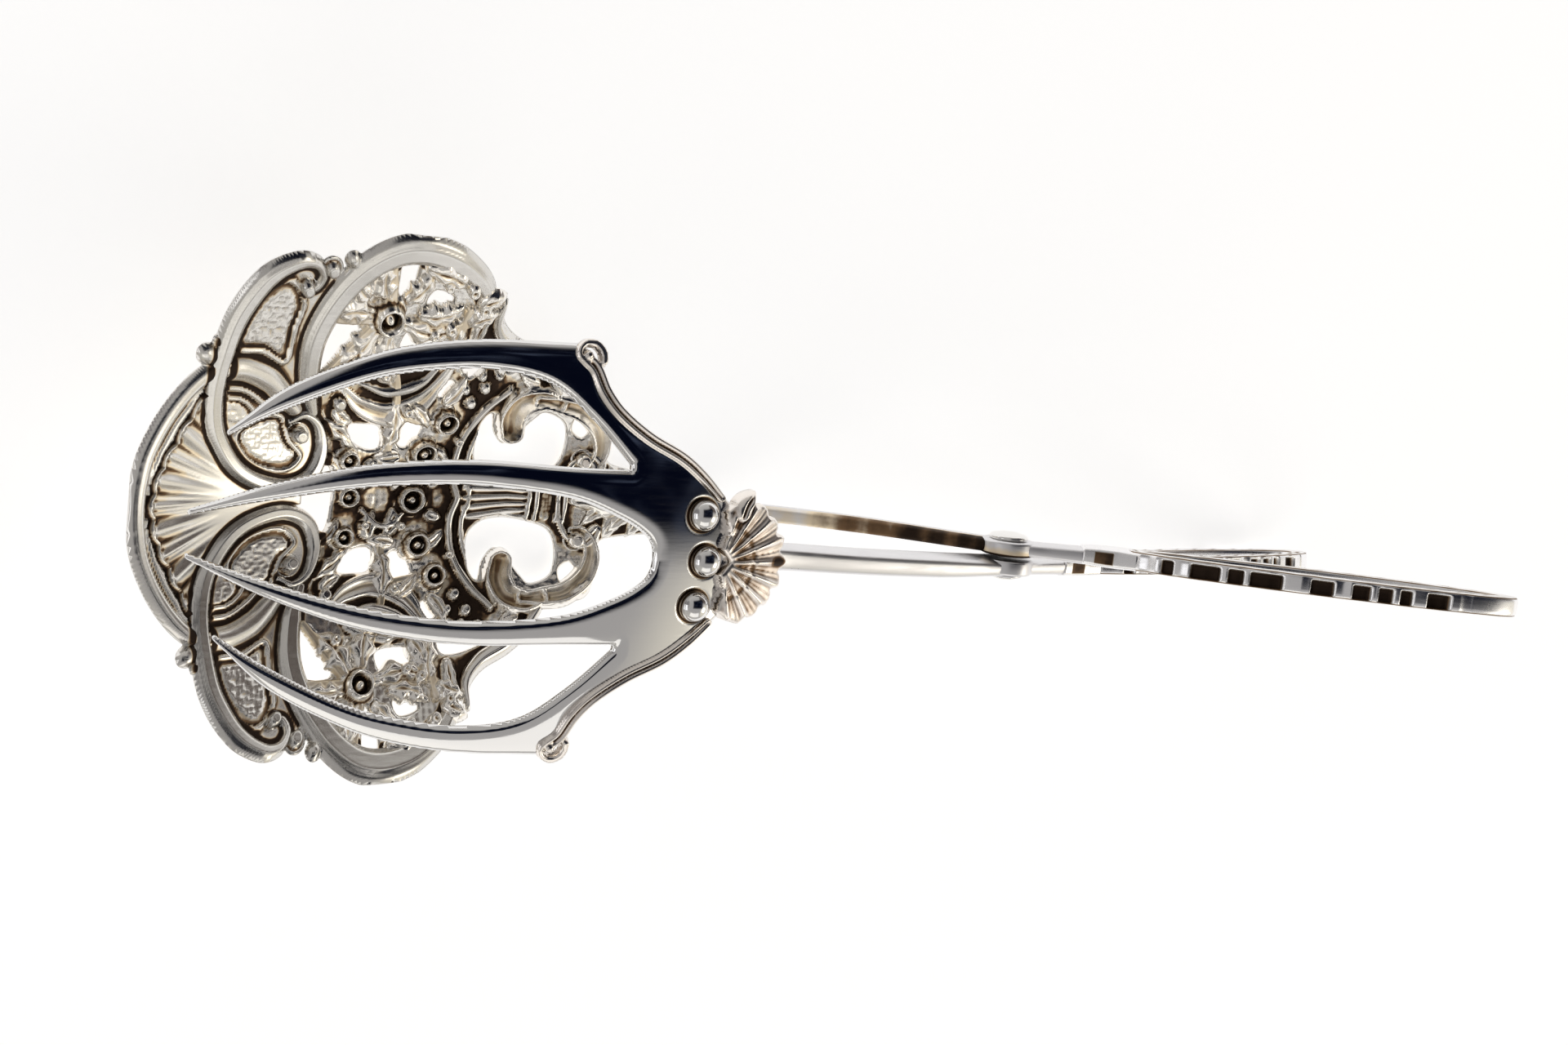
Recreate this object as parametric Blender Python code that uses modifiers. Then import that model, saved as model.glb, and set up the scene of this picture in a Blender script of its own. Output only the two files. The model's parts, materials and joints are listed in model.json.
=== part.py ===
"""Scissor-action silver ice tongs: a pierced bowl and a four-tine claw on two
bars that cross at one rivet and end in ornamented finger loops.

Metres, +Z up, +X towards the handles, +Y along the rivet. The origin is at the
centre of the underside of the whole object's box.
"""

import math

import bmesh
import bpy
import numpy as np
from mathutils import Matrix, Vector

MM = 0.001

# ---------------------------------------------------------------- dimensions
PIVOT = (0.0222179, 0.0, 0.0261)  # centre of the rivet, metres

GAP = 0.3  # clearance between touching pieces, mm (all below in mm)

# Bowl: dished surface, deepest on a flat floor
BOWL_FLOOR = -25.0
BOWL_RISE = 19.5
BOWL_FLOOR_X = -60.0
BOWL_FRONT = 46.5
BOWL_SIDE = 32.5
BOWL_FLAT = 0.2
BOWL_POWER = 1.7
BOWL_WALL = 1.1
ARCH_WIDTH = 3.2
ARCH_WALL = 2.2
LIP_WALL = 1.4

# Claw: crowned surface, highest over the tines
CLAW_TOP = 18.6
CLAW_TOP_X = -75.0
CLAW_LONG = 208.0
CLAW_CROSS = 150.0
FORK_WALL = 1.8
MOULDING = 1.3
BEAD = 1.7

# Bars and pivot
BAR_THICK = 2.1
BAR_HEIGHT = 4.4
BAR_Y = 1.2
BOSS_R = 3.6
BOSS_THICK = 2.2
SHANK_R = 1.3
BORE_R = SHANK_R + GAP
HEAD_R = 2.5
WASHER_R = 2.4
WASHER_T = 0.5
BOWL_HANDLE_DEG = 24.0
CLAW_HANDLE_DEG = -19.3

# Finger loops
LOOP_START = 9.5
LOOP_CENTRE = 40.0
LOOP_LONG = 25.0
LOOP_HIGH = 9.0
LOOP_WALL = 2.5
LOOP_THICK = 2.6
LOOP_Y = 1.45
BOWL_LOOP_TWIST_DEG = -4.5
CLAW_LOOP_TWIST_DEG = -8.0
LOOP_SHANK = 2.3
LOOP_BEADS = 13
LOOP_BEAD_RISE = 0.45

# ---------------------------------------------------------------- scene
for old in list(bpy.data.objects):
    bpy.data.objects.remove(old, do_unlink=True)

scene = bpy.context.scene
parts = bpy.data.collections.new("ice_tongs")
cutters = bpy.data.collections.new("cutters")
scene.collection.children.link(parts)
scene.collection.children.link(cutters)
cutters.hide_render = True


def empty(name):
    obj = bpy.data.objects.new(name, None)
    obj.empty_display_size = 0.01
    obj.location = PIVOT
    parts.objects.link(obj)
    return obj


bowl_half = empty("bowl_half")
claw_half = empty("claw_half")


def silver(name, colour, roughness):
    mat = bpy.data.materials.new(name)
    mat.use_nodes = True
    shader = mat.node_tree.nodes["Principled BSDF"]
    shader.inputs["Base Color"].default_value = (*colour, 1.0)
    shader.inputs["Metallic"].default_value = 1.0
    shader.inputs["Roughness"].default_value = roughness
    mat.diffuse_color = (*colour, 1.0)
    return mat


def finish(obj, half, colour=(0.82, 0.80, 0.76), roughness=0.16):
    for collection in list(obj.users_collection):
        collection.objects.unlink(obj)
    parts.objects.link(obj)
    obj.parent = half
    obj.data.materials.clear()
    obj.data.materials.append(silver(obj.name + "_silver", colour, roughness))
    return obj


def cutter(obj, half):
    for collection in list(obj.users_collection):
        collection.objects.unlink(obj)
    cutters.objects.link(obj)
    obj.parent = half
    obj.hide_render = True
    obj.display_type = "WIRE"
    return obj


# ---------------------------------------------------------------- outlines
def run(points, steps=4):
    """A smooth run through the points (Catmull-Rom), both ends kept."""
    p = [np.array(q, float) for q in points]
    if len(p) < 3:
        return p
    p = [2 * p[0] - p[1]] + p + [2 * p[-1] - p[-2]]
    out = []
    for i in range(1, len(p) - 2):
        for k in range(steps):
            t = k / steps
            a, b, c, d = p[i - 1], p[i], p[i + 1], p[i + 2]
            out.append(
                0.5
                * (
                    2 * b
                    + (c - a) * t
                    + (2 * a - 5 * b + 4 * c - d) * t * t
                    + (3 * b - a - 3 * c + d) * t**3
                )
            )
    out.append(p[-2])
    return out


def outline(*runs, steps=3):
    """Closed outline of smooth runs that meet at corners."""
    out = []
    for points in runs:
        piece = run(points, steps)
        if out and np.linalg.norm(out[-1] - piece[0]) < 1e-6:
            piece = piece[1:]
        out += piece
    if np.linalg.norm(out[-1] - out[0]) < 1e-6:
        out.pop()
    return out


def grow(points, by):
    """The closed outline moved outwards by a distance."""
    p = np.array(points)
    x, y = p[:, 0], p[:, 1]
    area = (x * np.roll(y, -1) - y * np.roll(x, -1)).sum()
    side = np.roll(p, -1, 0) - np.roll(p, 1, 0)
    normal = np.stack([side[:, 1], -side[:, 0]], 1)
    normal /= np.linalg.norm(normal, axis=1)[:, None] + 1e-12
    return list(p + normal * by * (1 if area > 0 else -1))


def mirrored(points):
    return [np.array((q[0], -q[1])) for q in points]


def band(path, widths, steps=4, cap=4):
    """A closed strip along a path, with round ends."""
    p = np.array(run(path, steps))
    w = np.interp(np.linspace(0, 1, len(p)), np.linspace(0, 1, len(widths)), widths) / 2
    t = np.gradient(p, axis=0)
    t /= np.linalg.norm(t, axis=1)[:, None]
    n = np.stack([-t[:, 1], t[:, 0]], 1)
    left, right = p + n * w[:, None], p - n * w[:, None]
    out = list(left)
    for k in range(1, cap):
        a = math.pi * k / cap
        out.append(p[-1] + w[-1] * (math.cos(a) * n[-1] + math.sin(a) * t[-1]))
    out += list(right[::-1])
    for k in range(1, cap):
        a = math.pi * k / cap
        out.append(p[0] + w[0] * (-math.cos(a) * n[0] - math.sin(a) * t[0]))
    return out


def ellipse(cx, cy, rx, ry, turn=0.0, n=12):
    c, s = math.cos(math.radians(turn)), math.sin(math.radians(turn))
    out = []
    for k in range(n):
        a = 2 * math.pi * k / n
        u, v = rx * math.cos(a), ry * math.sin(a)
        out.append(np.array((cx + u * c - v * s, cy + u * s + v * c)))
    return out


# ---------------------------------------------------------------- solids
def flat_mesh(name, outlines, half_height):
    """Closed plate of outlines (outer and holes) from a filled 2D curve."""
    data = bpy.data.curves.new(name, "CURVE")
    data.dimensions = "2D"
    data.fill_mode = "BOTH"
    data.extrude = half_height * MM
    for points in outlines:
        spline = data.splines.new("POLY")
        spline.points.add(len(points) - 1)
        for target, q in zip(spline.points, points):
            target.co = (q[0] * MM, q[1] * MM, 0.0, 1.0)
        spline.use_cyclic_u = True
    obj = bpy.data.objects.new(name, data)
    scene.collection.objects.link(obj)
    bpy.context.view_layer.update()
    graph = bpy.context.evaluated_depsgraph_get()
    mesh = bpy.data.meshes.new_from_object(obj.evaluated_get(graph))
    bpy.data.objects.remove(obj, do_unlink=True)
    bm = bmesh.new()
    bm.from_mesh(mesh)
    bmesh.ops.remove_doubles(bm, verts=bm.verts, dist=1e-7)
    bmesh.ops.recalc_face_normals(bm, faces=bm.faces)
    bm.to_mesh(mesh)
    bm.free()
    solid = bpy.data.objects.new(name, mesh)
    scene.collection.objects.link(solid)
    return solid


def prism(name, outlines, half):
    return cutter(flat_mesh(name, outlines, 60.0), half)


def bowl_z(x, y):
    u = max(0.0, (BOWL_FLOOR_X - x) / BOWL_FRONT)
    v = abs(y) / BOWL_SIDE
    g = max(0.0, (math.hypot(u, v) - BOWL_FLAT) / (1 - BOWL_FLAT))
    return BOWL_FLOOR + BOWL_RISE * g**BOWL_POWER


def claw_z(x, y):
    return CLAW_TOP - (x - CLAW_TOP_X) ** 2 / CLAW_LONG - y * y / CLAW_CROSS


def sheet(name, height, box, step, lift, thick):
    """A dished or crowned sheet over a plan box, given its thickness by Solidify."""
    x0, x1, y0, y1 = box
    nx, ny = max(2, round((x1 - x0) / step)), max(2, round((y1 - y0) / step))
    mesh = bpy.data.meshes.new(name)
    bm = bmesh.new()
    bmesh.ops.create_grid(bm, x_segments=nx, y_segments=ny, size=1.0)
    for v in bm.verts:
        x = x0 + (x1 - x0) * (v.co.x + 1) / 2
        y = y0 + (y1 - y0) * (v.co.y + 1) / 2
        e = 0.01
        normal = Vector(
            (
                -(height(x + e, y) - height(x - e, y)) / (2 * e),
                -(height(x, y + e) - height(x, y - e)) / (2 * e),
                1.0,
            )
        ).normalized()
        v.co = (Vector((x, y, height(x, y))) + normal * lift) * MM
    bmesh.ops.triangulate(bm, faces=bm.faces)
    bm.to_mesh(mesh)
    bm.free()
    obj = bpy.data.objects.new(name, mesh)
    scene.collection.objects.link(obj)
    solid = obj.modifiers.new("Solidify", "SOLIDIFY")
    solid.thickness = thick * MM
    solid.offset = 1.0
    solid.use_even_offset = True
    return obj


def cut(obj, operation, other):
    mod = obj.modifiers.new("Boolean", "BOOLEAN")
    mod.operation = operation
    mod.solver = "EXACT"
    mod.object = other
    return mod


def plan_box(points, margin=1.0):
    p = np.array(points)
    return (
        p[:, 0].min() - margin,
        p[:, 0].max() + margin,
        p[:, 1].min() - margin,
        p[:, 1].max() + margin,
    )


def region(name, half, height, outlines, minus, lift, thick, step=3.0):
    """The piece of a sheet inside an outline, less its neighbours."""
    obj = sheet(name, height, plan_box(outlines[0]), step, lift, thick)
    cut(obj, "INTERSECT", prism(name + "_outline", outlines, half))
    for k, other in enumerate(minus):
        cut(obj, "DIFFERENCE", prism(f"{name}_clear{k}", [grow(other, GAP)], half))
    return finish(obj, half)


# ---------------------------------------------------------------- bowl plan
arch_path = [
    (-86.4, 11.9),
    (-87.1, 17.0),
    (-85.8, 22.6),
    (-82.3, 28.2),
    (-77.2, 30.4),
    (-71.9, 29.8),
    (-68.0, 27.2),
    (-66.6, 24.6),
]
arch = band(arch_path, [2.4, ARCH_WIDTH, ARCH_WIDTH, ARCH_WIDTH, 2.4])
scroll = outline(
    [
        (-99.3, 15.1),
        (-98.9, 12.0),
        (-97.2, 7.2),
        (-93.4, 2.2),
        (-89.6, 0.5),
        (-86.0, 0.6),
        (-83.2, 3.2),
        (-83.0, 6.8),
        (-84.6, 9.6),
        (-86.0, 11.2),
    ],
    [(-86.0, 11.2), (-86.0, 15.1)],
    [(-86.0, 15.1), (-99.3, 15.1)],
)
panel = outline(
    [
        (-99.3, 15.4),
        (-98.9, 18.6),
        (-96.8, 22.9),
        (-93.2, 27.0),
        (-90.2, 28.7),
        (-87.4, 28.0),
        (-84.5, 27.4),
    ],
    [(-84.5, 27.4), (-86.0, 22.0)],
    [(-86.0, 22.0), (-86.0, 15.4)],
    [(-86.0, 15.4), (-99.3, 15.4)],
)
fan_half = [
    (-106.4, 0.0),
    (-106.0, 4.5),
    (-104.3, 9.6),
    (-101.2, 13.6),
]
fan = outline(
    [(q[0], -q[1]) for q in fan_half[::-1]] + fan_half[1:],
    [(-101.2, 13.6), (-94.0, 7.0)],
    [(-94.0, 7.0), (-92.0, 0.0), (-94.0, -7.0)],
    [(-94.0, -7.0), (-101.2, -13.6)],
)
body_edge = [
    (-66.6, 24.6),
    (-64.6, 21.0),
    (-62.6, 16.6),
    (-59.0, 13.4),
    (-53.5, 11.4),
    (-46.5, 8.6),
    (-40.0, 6.0),
    (-34.0, 4.2),
    (-30.0, 3.8),
]
body = outline(
    [(-81.9, 0.0), (-82.1, 8.0)],
    [(-82.1, 8.0), arch_path[0]],
    arch_path,
    body_edge,
    [(-30.0, 3.8), (-30.0, -3.8)],
    mirrored(body_edge)[::-1],
    mirrored(arch_path)[::-1],
    [(arch_path[0][0], -arch_path[0][1]), (-82.1, -8.0)],
    [(-82.1, -8.0), (-81.9, 0.0)],
)
hole_list = [
    (-81.4, 19.8, 1.9, 3.5, 0),
    (-77.0, 25.7, 2.5, 1.5, 0),
    (-74.0, 19.8, 2.5, 2.2, 0),
    (-67.9, 20.2, 1.8, 3.0, 10),
    (-78.4, 12.4, 2.5, 1.9, 0),
    (-77.6, 5.8, 2.3, 1.8, 0),
    (-71.0, 5.0, 1.7, 1.5, 0),
    (-70.9, 12.6, 2.4, 2.1, 0),
    (-63.8, 9.0, 1.8, 2.5, 0),
    (-55.3, 6.3, 4.1, 3.8, 0),
]
holes = []
for cx, cy, rx, ry, turn in hole_list:
    holes.append(ellipse(cx, cy, rx, ry, turn))
    holes.append(ellipse(cx, -cy, rx, ry, -turn))

region(
    "bowl_body",
    bowl_half,
    bowl_z,
    [body] + holes,
    [arch, mirrored(arch), scroll, mirrored(scroll)],
    -BOWL_WALL,
    BOWL_WALL,
)
region(
    "bowl_fan_lip",
    bowl_half,
    bowl_z,
    [fan],
    [scroll, mirrored(scroll)],
    -BOWL_WALL,
    LIP_WALL,
)

spray_path = [(-79.4, 22.6), (-78.0, 17.4), (-75.0, 15.4), (-74.4, 9.4), (-73.4, 3.4)]
spray = band(spray_path, [4.4, 4.0, 1.6, 1.4, 2.8, 1.4, 1.6, 4.0, 4.2], steps=5)
volute_path = [
    (-64.9, 21.6),
    (-63.9, 17.4),
    (-61.2, 13.4),
    (-56.6, 11.9),
    (-51.6, 9.4),
]
volute = band(volute_path, [3.4, 1.8, 1.8, 1.8, 2.6])

for word, turn in (("left", lambda q: q), ("right", mirrored)):
    region(
        "bowl_arch_" + word,
        bowl_half,
        bowl_z,
        [turn(arch)],
        [],
        -BOWL_WALL,
        ARCH_WALL,
    )
    region(
        "bowl_scroll_" + word,
        bowl_half,
        bowl_z,
        [turn(scroll)],
        [turn(arch)],
        -BOWL_WALL,
        LIP_WALL,
    )
    region(
        "bowl_panel_" + word,
        bowl_half,
        bowl_z,
        [turn(panel)],
        [turn(arch)],
        -BOWL_WALL,
        LIP_WALL,
    )
    region(
        "bowl_spray_" + word,
        bowl_half,
        bowl_z,
        [turn(spray)],
        [],
        GAP,
        1.0,
    )
    region(
        "bowl_volute_" + word,
        bowl_half,
        bowl_z,
        [turn(volute)],
        [],
        GAP,
        1.3,
    )

leaf_half = [(-51.5, 0.0), (-48.6, 2.6), (-44.6, 4.0), (-40.0, 3.4), (-36.2, 2.0)]
leaf = outline(
    leaf_half,
    [(-36.2, 2.0), (-36.2, -2.0)],
    mirrored(leaf_half)[::-1],
)
region("bowl_root_leaf", bowl_half, bowl_z, [leaf], [], GAP, 1.4)

# ---------------------------------------------------------------- claw plan
palm_edge = [
    (-42.5, 5.4),
    (-45.0, 7.8),
    (-48.7, 11.2),
    (-55.2, 14.2),
    (-59.6, 17.2),
    (-61.0, 21.4),
    (-62.8, 22.7),
]
outer_tine_out = [
    (-62.8, 22.7),
    (-72.6, 22.3),
    (-79.6, 21.2),
    (-85.2, 19.4),
    (-92.7, 15.6),
    (-98.2, 10.7),
]
outer_tine_in = [
    (-98.2, 10.1),
    (-92.7, 13.3),
    (-85.2, 16.8),
    (-79.4, 18.4),
    (-72.5, 19.2),
    (-66.0, 18.3),
    (-61.0, 14.8),
    (-56.4, 10.3),
]
inner_tine_out = [
    (-56.4, 9.7),
    (-63.0, 9.7),
    (-72.0, 9.9),
    (-79.0, 9.4),
    (-86.0, 8.2),
    (-94.0, 5.7),
    (-101.4, 2.5),
]
inner_tine_in = [
    (-101.4, 1.9),
    (-94.5, 3.9),
    (-86.0, 5.9),
    (-79.0, 6.9),
    (-72.0, 7.2),
    (-62.9, 6.4),
    (-56.6, 3.9),
    (-52.3, 0.0),
]
fork_half = [
    palm_edge,
    outer_tine_out,
    [outer_tine_out[-1], outer_tine_in[0]],
    outer_tine_in,
    [outer_tine_in[-1], inner_tine_out[0]],
    inner_tine_out,
    [inner_tine_out[-1], inner_tine_in[0]],
    inner_tine_in,
]
fork = outline(
    [(-42.5, -5.4), (-42.5, 5.4)],
    *fork_half,
    *[mirrored(points)[::-1] for points in fork_half[::-1]],
)
region(
    "claw_fork", claw_half, claw_z, [fork], [], -FORK_WALL / 2, FORK_WALL, step=4.5
)

border_path = [
    (-62.4, 21.6),
    (-60.6, 19.8),
    (-59.0, 16.9),
    (-55.0, 13.6),
    (-49.6, 10.8),
    (-46.4, 8.2),
]
border = band(border_path, [2.2, MOULDING, MOULDING, MOULDING, MOULDING])
for word, turn in (("left", lambda q: q), ("right", mirrored)):
    region(
        "claw_border_" + word,
        claw_half,
        claw_z,
        [turn(border)],
        [],
        FORK_WALL / 2 + GAP,
        0.9,
    )

cuff = []
for k in range(41):
    a = math.radians(-70 + 140 * k / 40)
    r = 7.2 + 0.55 * abs(math.cos(8.5 * (a + math.radians(70)) * 180 / 170))
    cuff.append(np.array((-43.9 + r * math.cos(a), 0.95 * r * math.sin(a))))
cuff += [np.array((-43.9, 6.3)), np.array((-44.0, 3.0)), np.array((-43.2, 1.6))]
cuff += [np.array((-43.2, -1.6)), np.array((-44.0, -3.0)), np.array((-43.9, -6.3))]
region(
    "claw_cuff", claw_half, claw_z, [cuff], [], FORK_WALL / 2 + GAP, 1.8, step=2.5
)


def bead(name, x, y):
    mesh = bpy.data.meshes.new(name)
    bm = bmesh.new()
    bmesh.ops.create_uvsphere(bm, u_segments=14, v_segments=8, radius=BEAD * MM)
    bmesh.ops.scale(bm, vec=(1.0, 1.0, 0.7), verts=bm.verts)
    bm.to_mesh(mesh)
    bm.free()
    mesh.shade_smooth()
    obj = bpy.data.objects.new(name, mesh)
    scene.collection.objects.link(obj)
    z = claw_z(x, y) + FORK_WALL / 2 + 0.7 * BEAD + GAP + 0.1
    obj.location = (x * MM, y * MM, z * MM)
    finish(obj, claw_half)


bead("claw_bead_left", -47.4, 5.1)
bead("claw_bead_middle", -46.6, 0.0)
bead("claw_bead_right", -47.4, -5.1)


# ---------------------------------------------------------------- bars
def bar(name, half, path, y_boss):
    """A rectangular bar along a path, with a round boss bored for the rivet."""
    section = bpy.data.curves.new(name + "_section", "CURVE")
    section.dimensions = "2D"
    spline = section.splines.new("POLY")
    r, w, h = 0.7, BAR_THICK / 2, BAR_HEIGHT / 2
    corners = []
    for sx, sy, start in ((1, 1, 0), (-1, 1, 90), (-1, -1, 180), (1, -1, 270)):
        for k in range(2):
            a = math.radians(start + 90 * k)
            corners.append(
                (sx * (w - r) + r * math.cos(a), sy * (h - r) + r * math.sin(a))
            )
    spline.points.add(len(corners) - 1)
    for target, q in zip(spline.points, corners):
        target.co = (q[0] * MM, q[1] * MM, 0.0, 1.0)
    spline.use_cyclic_u = True
    profile = bpy.data.objects.new(name + "_section", section)
    cutter(profile, None)

    data = bpy.data.curves.new(name, "CURVE")
    data.dimensions = "3D"
    data.twist_mode = "Z_UP"
    data.bevel_mode = "OBJECT"
    data.bevel_object = profile
    data.use_fill_caps = True
    points = run(path, 3)
    spline = data.splines.new("POLY")
    spline.points.add(len(points) - 1)
    for target, q in zip(spline.points, points):
        target.co = (q[0] * MM, q[1] * MM, q[2] * MM, 1.0)
    curve = bpy.data.objects.new(name + "_curve", data)
    scene.collection.objects.link(curve)
    bpy.context.view_layer.update()
    graph = bpy.context.evaluated_depsgraph_get()
    mesh = bpy.data.meshes.new_from_object(curve.evaluated_get(graph))
    bpy.data.objects.remove(curve, do_unlink=True)
    bpy.data.objects.remove(profile, do_unlink=True)
    bm = bmesh.new()
    bm.from_mesh(mesh)
    bmesh.ops.remove_doubles(bm, verts=bm.verts, dist=1e-6)
    bmesh.ops.recalc_face_normals(bm, faces=bm.faces)
    bm.to_mesh(mesh)
    bm.free()
    obj = bpy.data.objects.new(name, mesh)
    scene.collection.objects.link(obj)
    finish(obj, half)
    across = Matrix.Rotation(math.radians(90), 4, "X")
    for tag, radius, length, operation in (
        ("_boss", BOSS_R, BOSS_THICK, "UNION"),
        ("_bore", BORE_R, 4 * BAR_THICK, "DIFFERENCE"),
    ):
        tool = bpy.data.meshes.new(name + tag)
        bm = bmesh.new()
        bmesh.ops.create_cone(
            bm,
            cap_ends=True,
            segments=24,
            radius1=radius * MM,
            radius2=radius * MM,
            depth=length * MM,
            matrix=Matrix.Translation((0, y_boss * MM, 0)) @ across,
        )
        bm.to_mesh(tool)
        bm.free()
        other = bpy.data.objects.new(name + tag, tool)
        scene.collection.objects.link(other)
        cutter(other, half)
        cut(obj, operation, other)
    return obj


def along(angle, r, y):
    a = math.radians(angle)
    return (r * math.cos(a), y, r * math.sin(a))


bar(
    "bowl_arm",
    bowl_half,
    [
        (-35.6, 0.0, BOWL_FLOOR + GAP + BAR_HEIGHT / 2 + 0.1),
        (-33.2, 0.1, BOWL_FLOOR + GAP + BAR_HEIGHT / 2 + 0.6),
        (-29.4, 0.5, -20.9),
        (-24.0, 1.0, -17.2),
        (-15.0, 1.35, -11.0),
        (-6.0, BAR_Y, -4.2),
        (0.0, BAR_Y, 0.0),
        along(BOWL_HANDLE_DEG, 5.0, BAR_Y),
        along(BOWL_HANDLE_DEG, LOOP_START - GAP, BAR_Y),
    ],
    BAR_Y,
)
bar(
    "claw_arm",
    claw_half,
    [
        (-42.2, 0.0, claw_z(-42.2, 0) - 2.2),
        (-39.0, 0.0, claw_z(-39.0, 0) - 2.2),
        (-34.0, -0.2, 8.6),
        (-24.0, -0.8, 6.3),
        (-12.0, -1.35, 3.4),
        (-5.0, -BAR_Y, 1.4),
        (0.0, -BAR_Y, 0.0),
        along(CLAW_HANDLE_DEG, 5.0, -BAR_Y),
        along(CLAW_HANDLE_DEG, LOOP_START - GAP, -BAR_Y),
    ],
    -BAR_Y,
)


# ---------------------------------------------------------------- loops
def loop(name, half, angle, y, twist=0.0):
    """A finger loop in the plane of the scissor motion, beaded round its rim."""
    turn = math.radians(angle)
    c, s = math.cos(turn), math.sin(turn)
    upper = [(LOOP_START, LOOP_SHANK - 0.2)]
    n = 52
    start = math.radians(163)
    for k in range(n + 1):
        a = start * (1 - k / n)
        rise = LOOP_BEAD_RISE * abs(math.sin(LOOP_BEADS * a))
        x = LOOP_CENTRE + (LOOP_LONG + rise) * math.cos(a)
        z = (LOOP_HIGH + rise) * math.sin(a) * (1 - 0.16 * (1 - math.cos(a)) / 2)
        upper.append((x, max(z, 0.0 if k == n else LOOP_SHANK if k == 0 else z)))
    outer = upper + [(x, -z) for x, z in upper[-2::-1]]
    inner = []
    for k in range(40):
        a = 2 * math.pi * k / 40
        x = LOOP_CENTRE + (LOOP_LONG - LOOP_WALL) * math.cos(a)
        z = (LOOP_HIGH - LOOP_WALL) * math.sin(a) * (1 - 0.18 * (1 - math.cos(a)) / 2)
        inner.append((x, z))
    outlines = [
        [np.array((x * c - z * s, x * s + z * c)) for x, z in ring]
        for ring in (outer, inner)
    ]
    obj = flat_mesh(name, outlines, LOOP_THICK / 2)
    upright = Matrix.Rotation(math.radians(90), 3, "X")
    lean = Matrix.Rotation(math.radians(twist), 3, Vector((c, 0.0, s)))
    obj.rotation_euler = (lean @ upright).to_euler()
    obj.location = (0.0, y * MM, 0.0)
    return finish(obj, half)


loop(
    "bowl_handle_loop", bowl_half, BOWL_HANDLE_DEG, LOOP_Y, BOWL_LOOP_TWIST_DEG
)
loop(
    "claw_handle_loop", claw_half, CLAW_HANDLE_DEG, -LOOP_Y, CLAW_LOOP_TWIST_DEG
)


# ---------------------------------------------------------------- rivet
def turned(name, profile):
    """A piece turned about the rivet's axis; the profile runs down its outer side."""
    mesh = bpy.data.meshes.new(name)
    mesh.from_pydata(
        [(r * MM, 0.0, z * MM) for r, z in profile],
        [(k, k + 1) for k in range(len(profile) - 1)],
        [],
    )
    obj = bpy.data.objects.new(name, mesh)
    scene.collection.objects.link(obj)
    screw = obj.modifiers.new("Screw", "SCREW")
    screw.steps = screw.render_steps = 20
    screw.use_merge_vertices = True
    screw.merge_threshold = 1e-6
    obj.rotation_euler = (math.radians(-90), 0.0, 0.0)
    return finish(obj, bowl_half, (0.78, 0.76, 0.72), 0.2)


face = BAR_Y + BOSS_THICK / 2
head_low = face + GAP
tail_high = -(face + 2 * GAP + WASHER_T)
dome = [
    (HEAD_R * math.sin(a), head_low + 0.3 + 0.8 * math.cos(a))
    for a in np.linspace(0.0, math.pi / 2, 5)
]
peen = [
    (2.1 * math.cos(a), tail_high - 0.2 - 0.6 * math.sin(a))
    for a in np.linspace(0.0, math.pi / 2, 4)
]
dome[0] = (0.0, dome[0][1])
peen[-1] = (0.0, peen[-1][1])
turned(
    "pivot_rivet",
    dome + [(HEAD_R, head_low), (SHANK_R, head_low), (SHANK_R, tail_high), (2.1, tail_high)] + peen,
)
washer_top = -(face + GAP)
turned(
    "rivet_washer",
    [
        (BORE_R, washer_top),
        (WASHER_R, washer_top),
        (WASHER_R, washer_top - WASHER_T),
        (BORE_R, washer_top - WASHER_T),
        (BORE_R, washer_top),
    ],
)
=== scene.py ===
import bpy, bmesh, json, math
import numpy as np
from mathutils import Matrix, Vector


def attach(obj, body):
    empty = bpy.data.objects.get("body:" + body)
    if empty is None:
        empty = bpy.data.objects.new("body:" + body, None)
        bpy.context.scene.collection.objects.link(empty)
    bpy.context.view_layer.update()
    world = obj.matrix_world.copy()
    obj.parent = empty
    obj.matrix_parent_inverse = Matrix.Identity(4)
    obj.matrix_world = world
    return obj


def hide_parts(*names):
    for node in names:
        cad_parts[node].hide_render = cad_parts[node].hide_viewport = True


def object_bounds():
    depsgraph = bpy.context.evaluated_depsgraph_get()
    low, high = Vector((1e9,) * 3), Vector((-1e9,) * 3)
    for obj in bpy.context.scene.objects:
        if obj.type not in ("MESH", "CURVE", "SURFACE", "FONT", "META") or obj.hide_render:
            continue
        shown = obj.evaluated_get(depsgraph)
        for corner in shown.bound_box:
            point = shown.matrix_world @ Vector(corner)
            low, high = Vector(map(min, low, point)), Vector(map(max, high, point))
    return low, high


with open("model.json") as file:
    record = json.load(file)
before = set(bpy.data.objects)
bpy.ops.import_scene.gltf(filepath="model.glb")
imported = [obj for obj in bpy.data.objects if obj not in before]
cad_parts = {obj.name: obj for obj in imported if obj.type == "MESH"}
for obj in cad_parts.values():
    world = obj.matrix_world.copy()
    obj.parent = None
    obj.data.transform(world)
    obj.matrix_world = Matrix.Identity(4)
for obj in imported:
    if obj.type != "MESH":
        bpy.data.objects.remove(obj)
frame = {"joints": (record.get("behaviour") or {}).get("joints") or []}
CAD_LO, CAD_HI = [list(map(float, c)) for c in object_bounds()]
PIV = np.array(frame["joints"][0]["pos_m"], float)
BOWL, CLAW = "bowl_half", "claw_half"
rng = np.random.RandomState(7)

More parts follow.
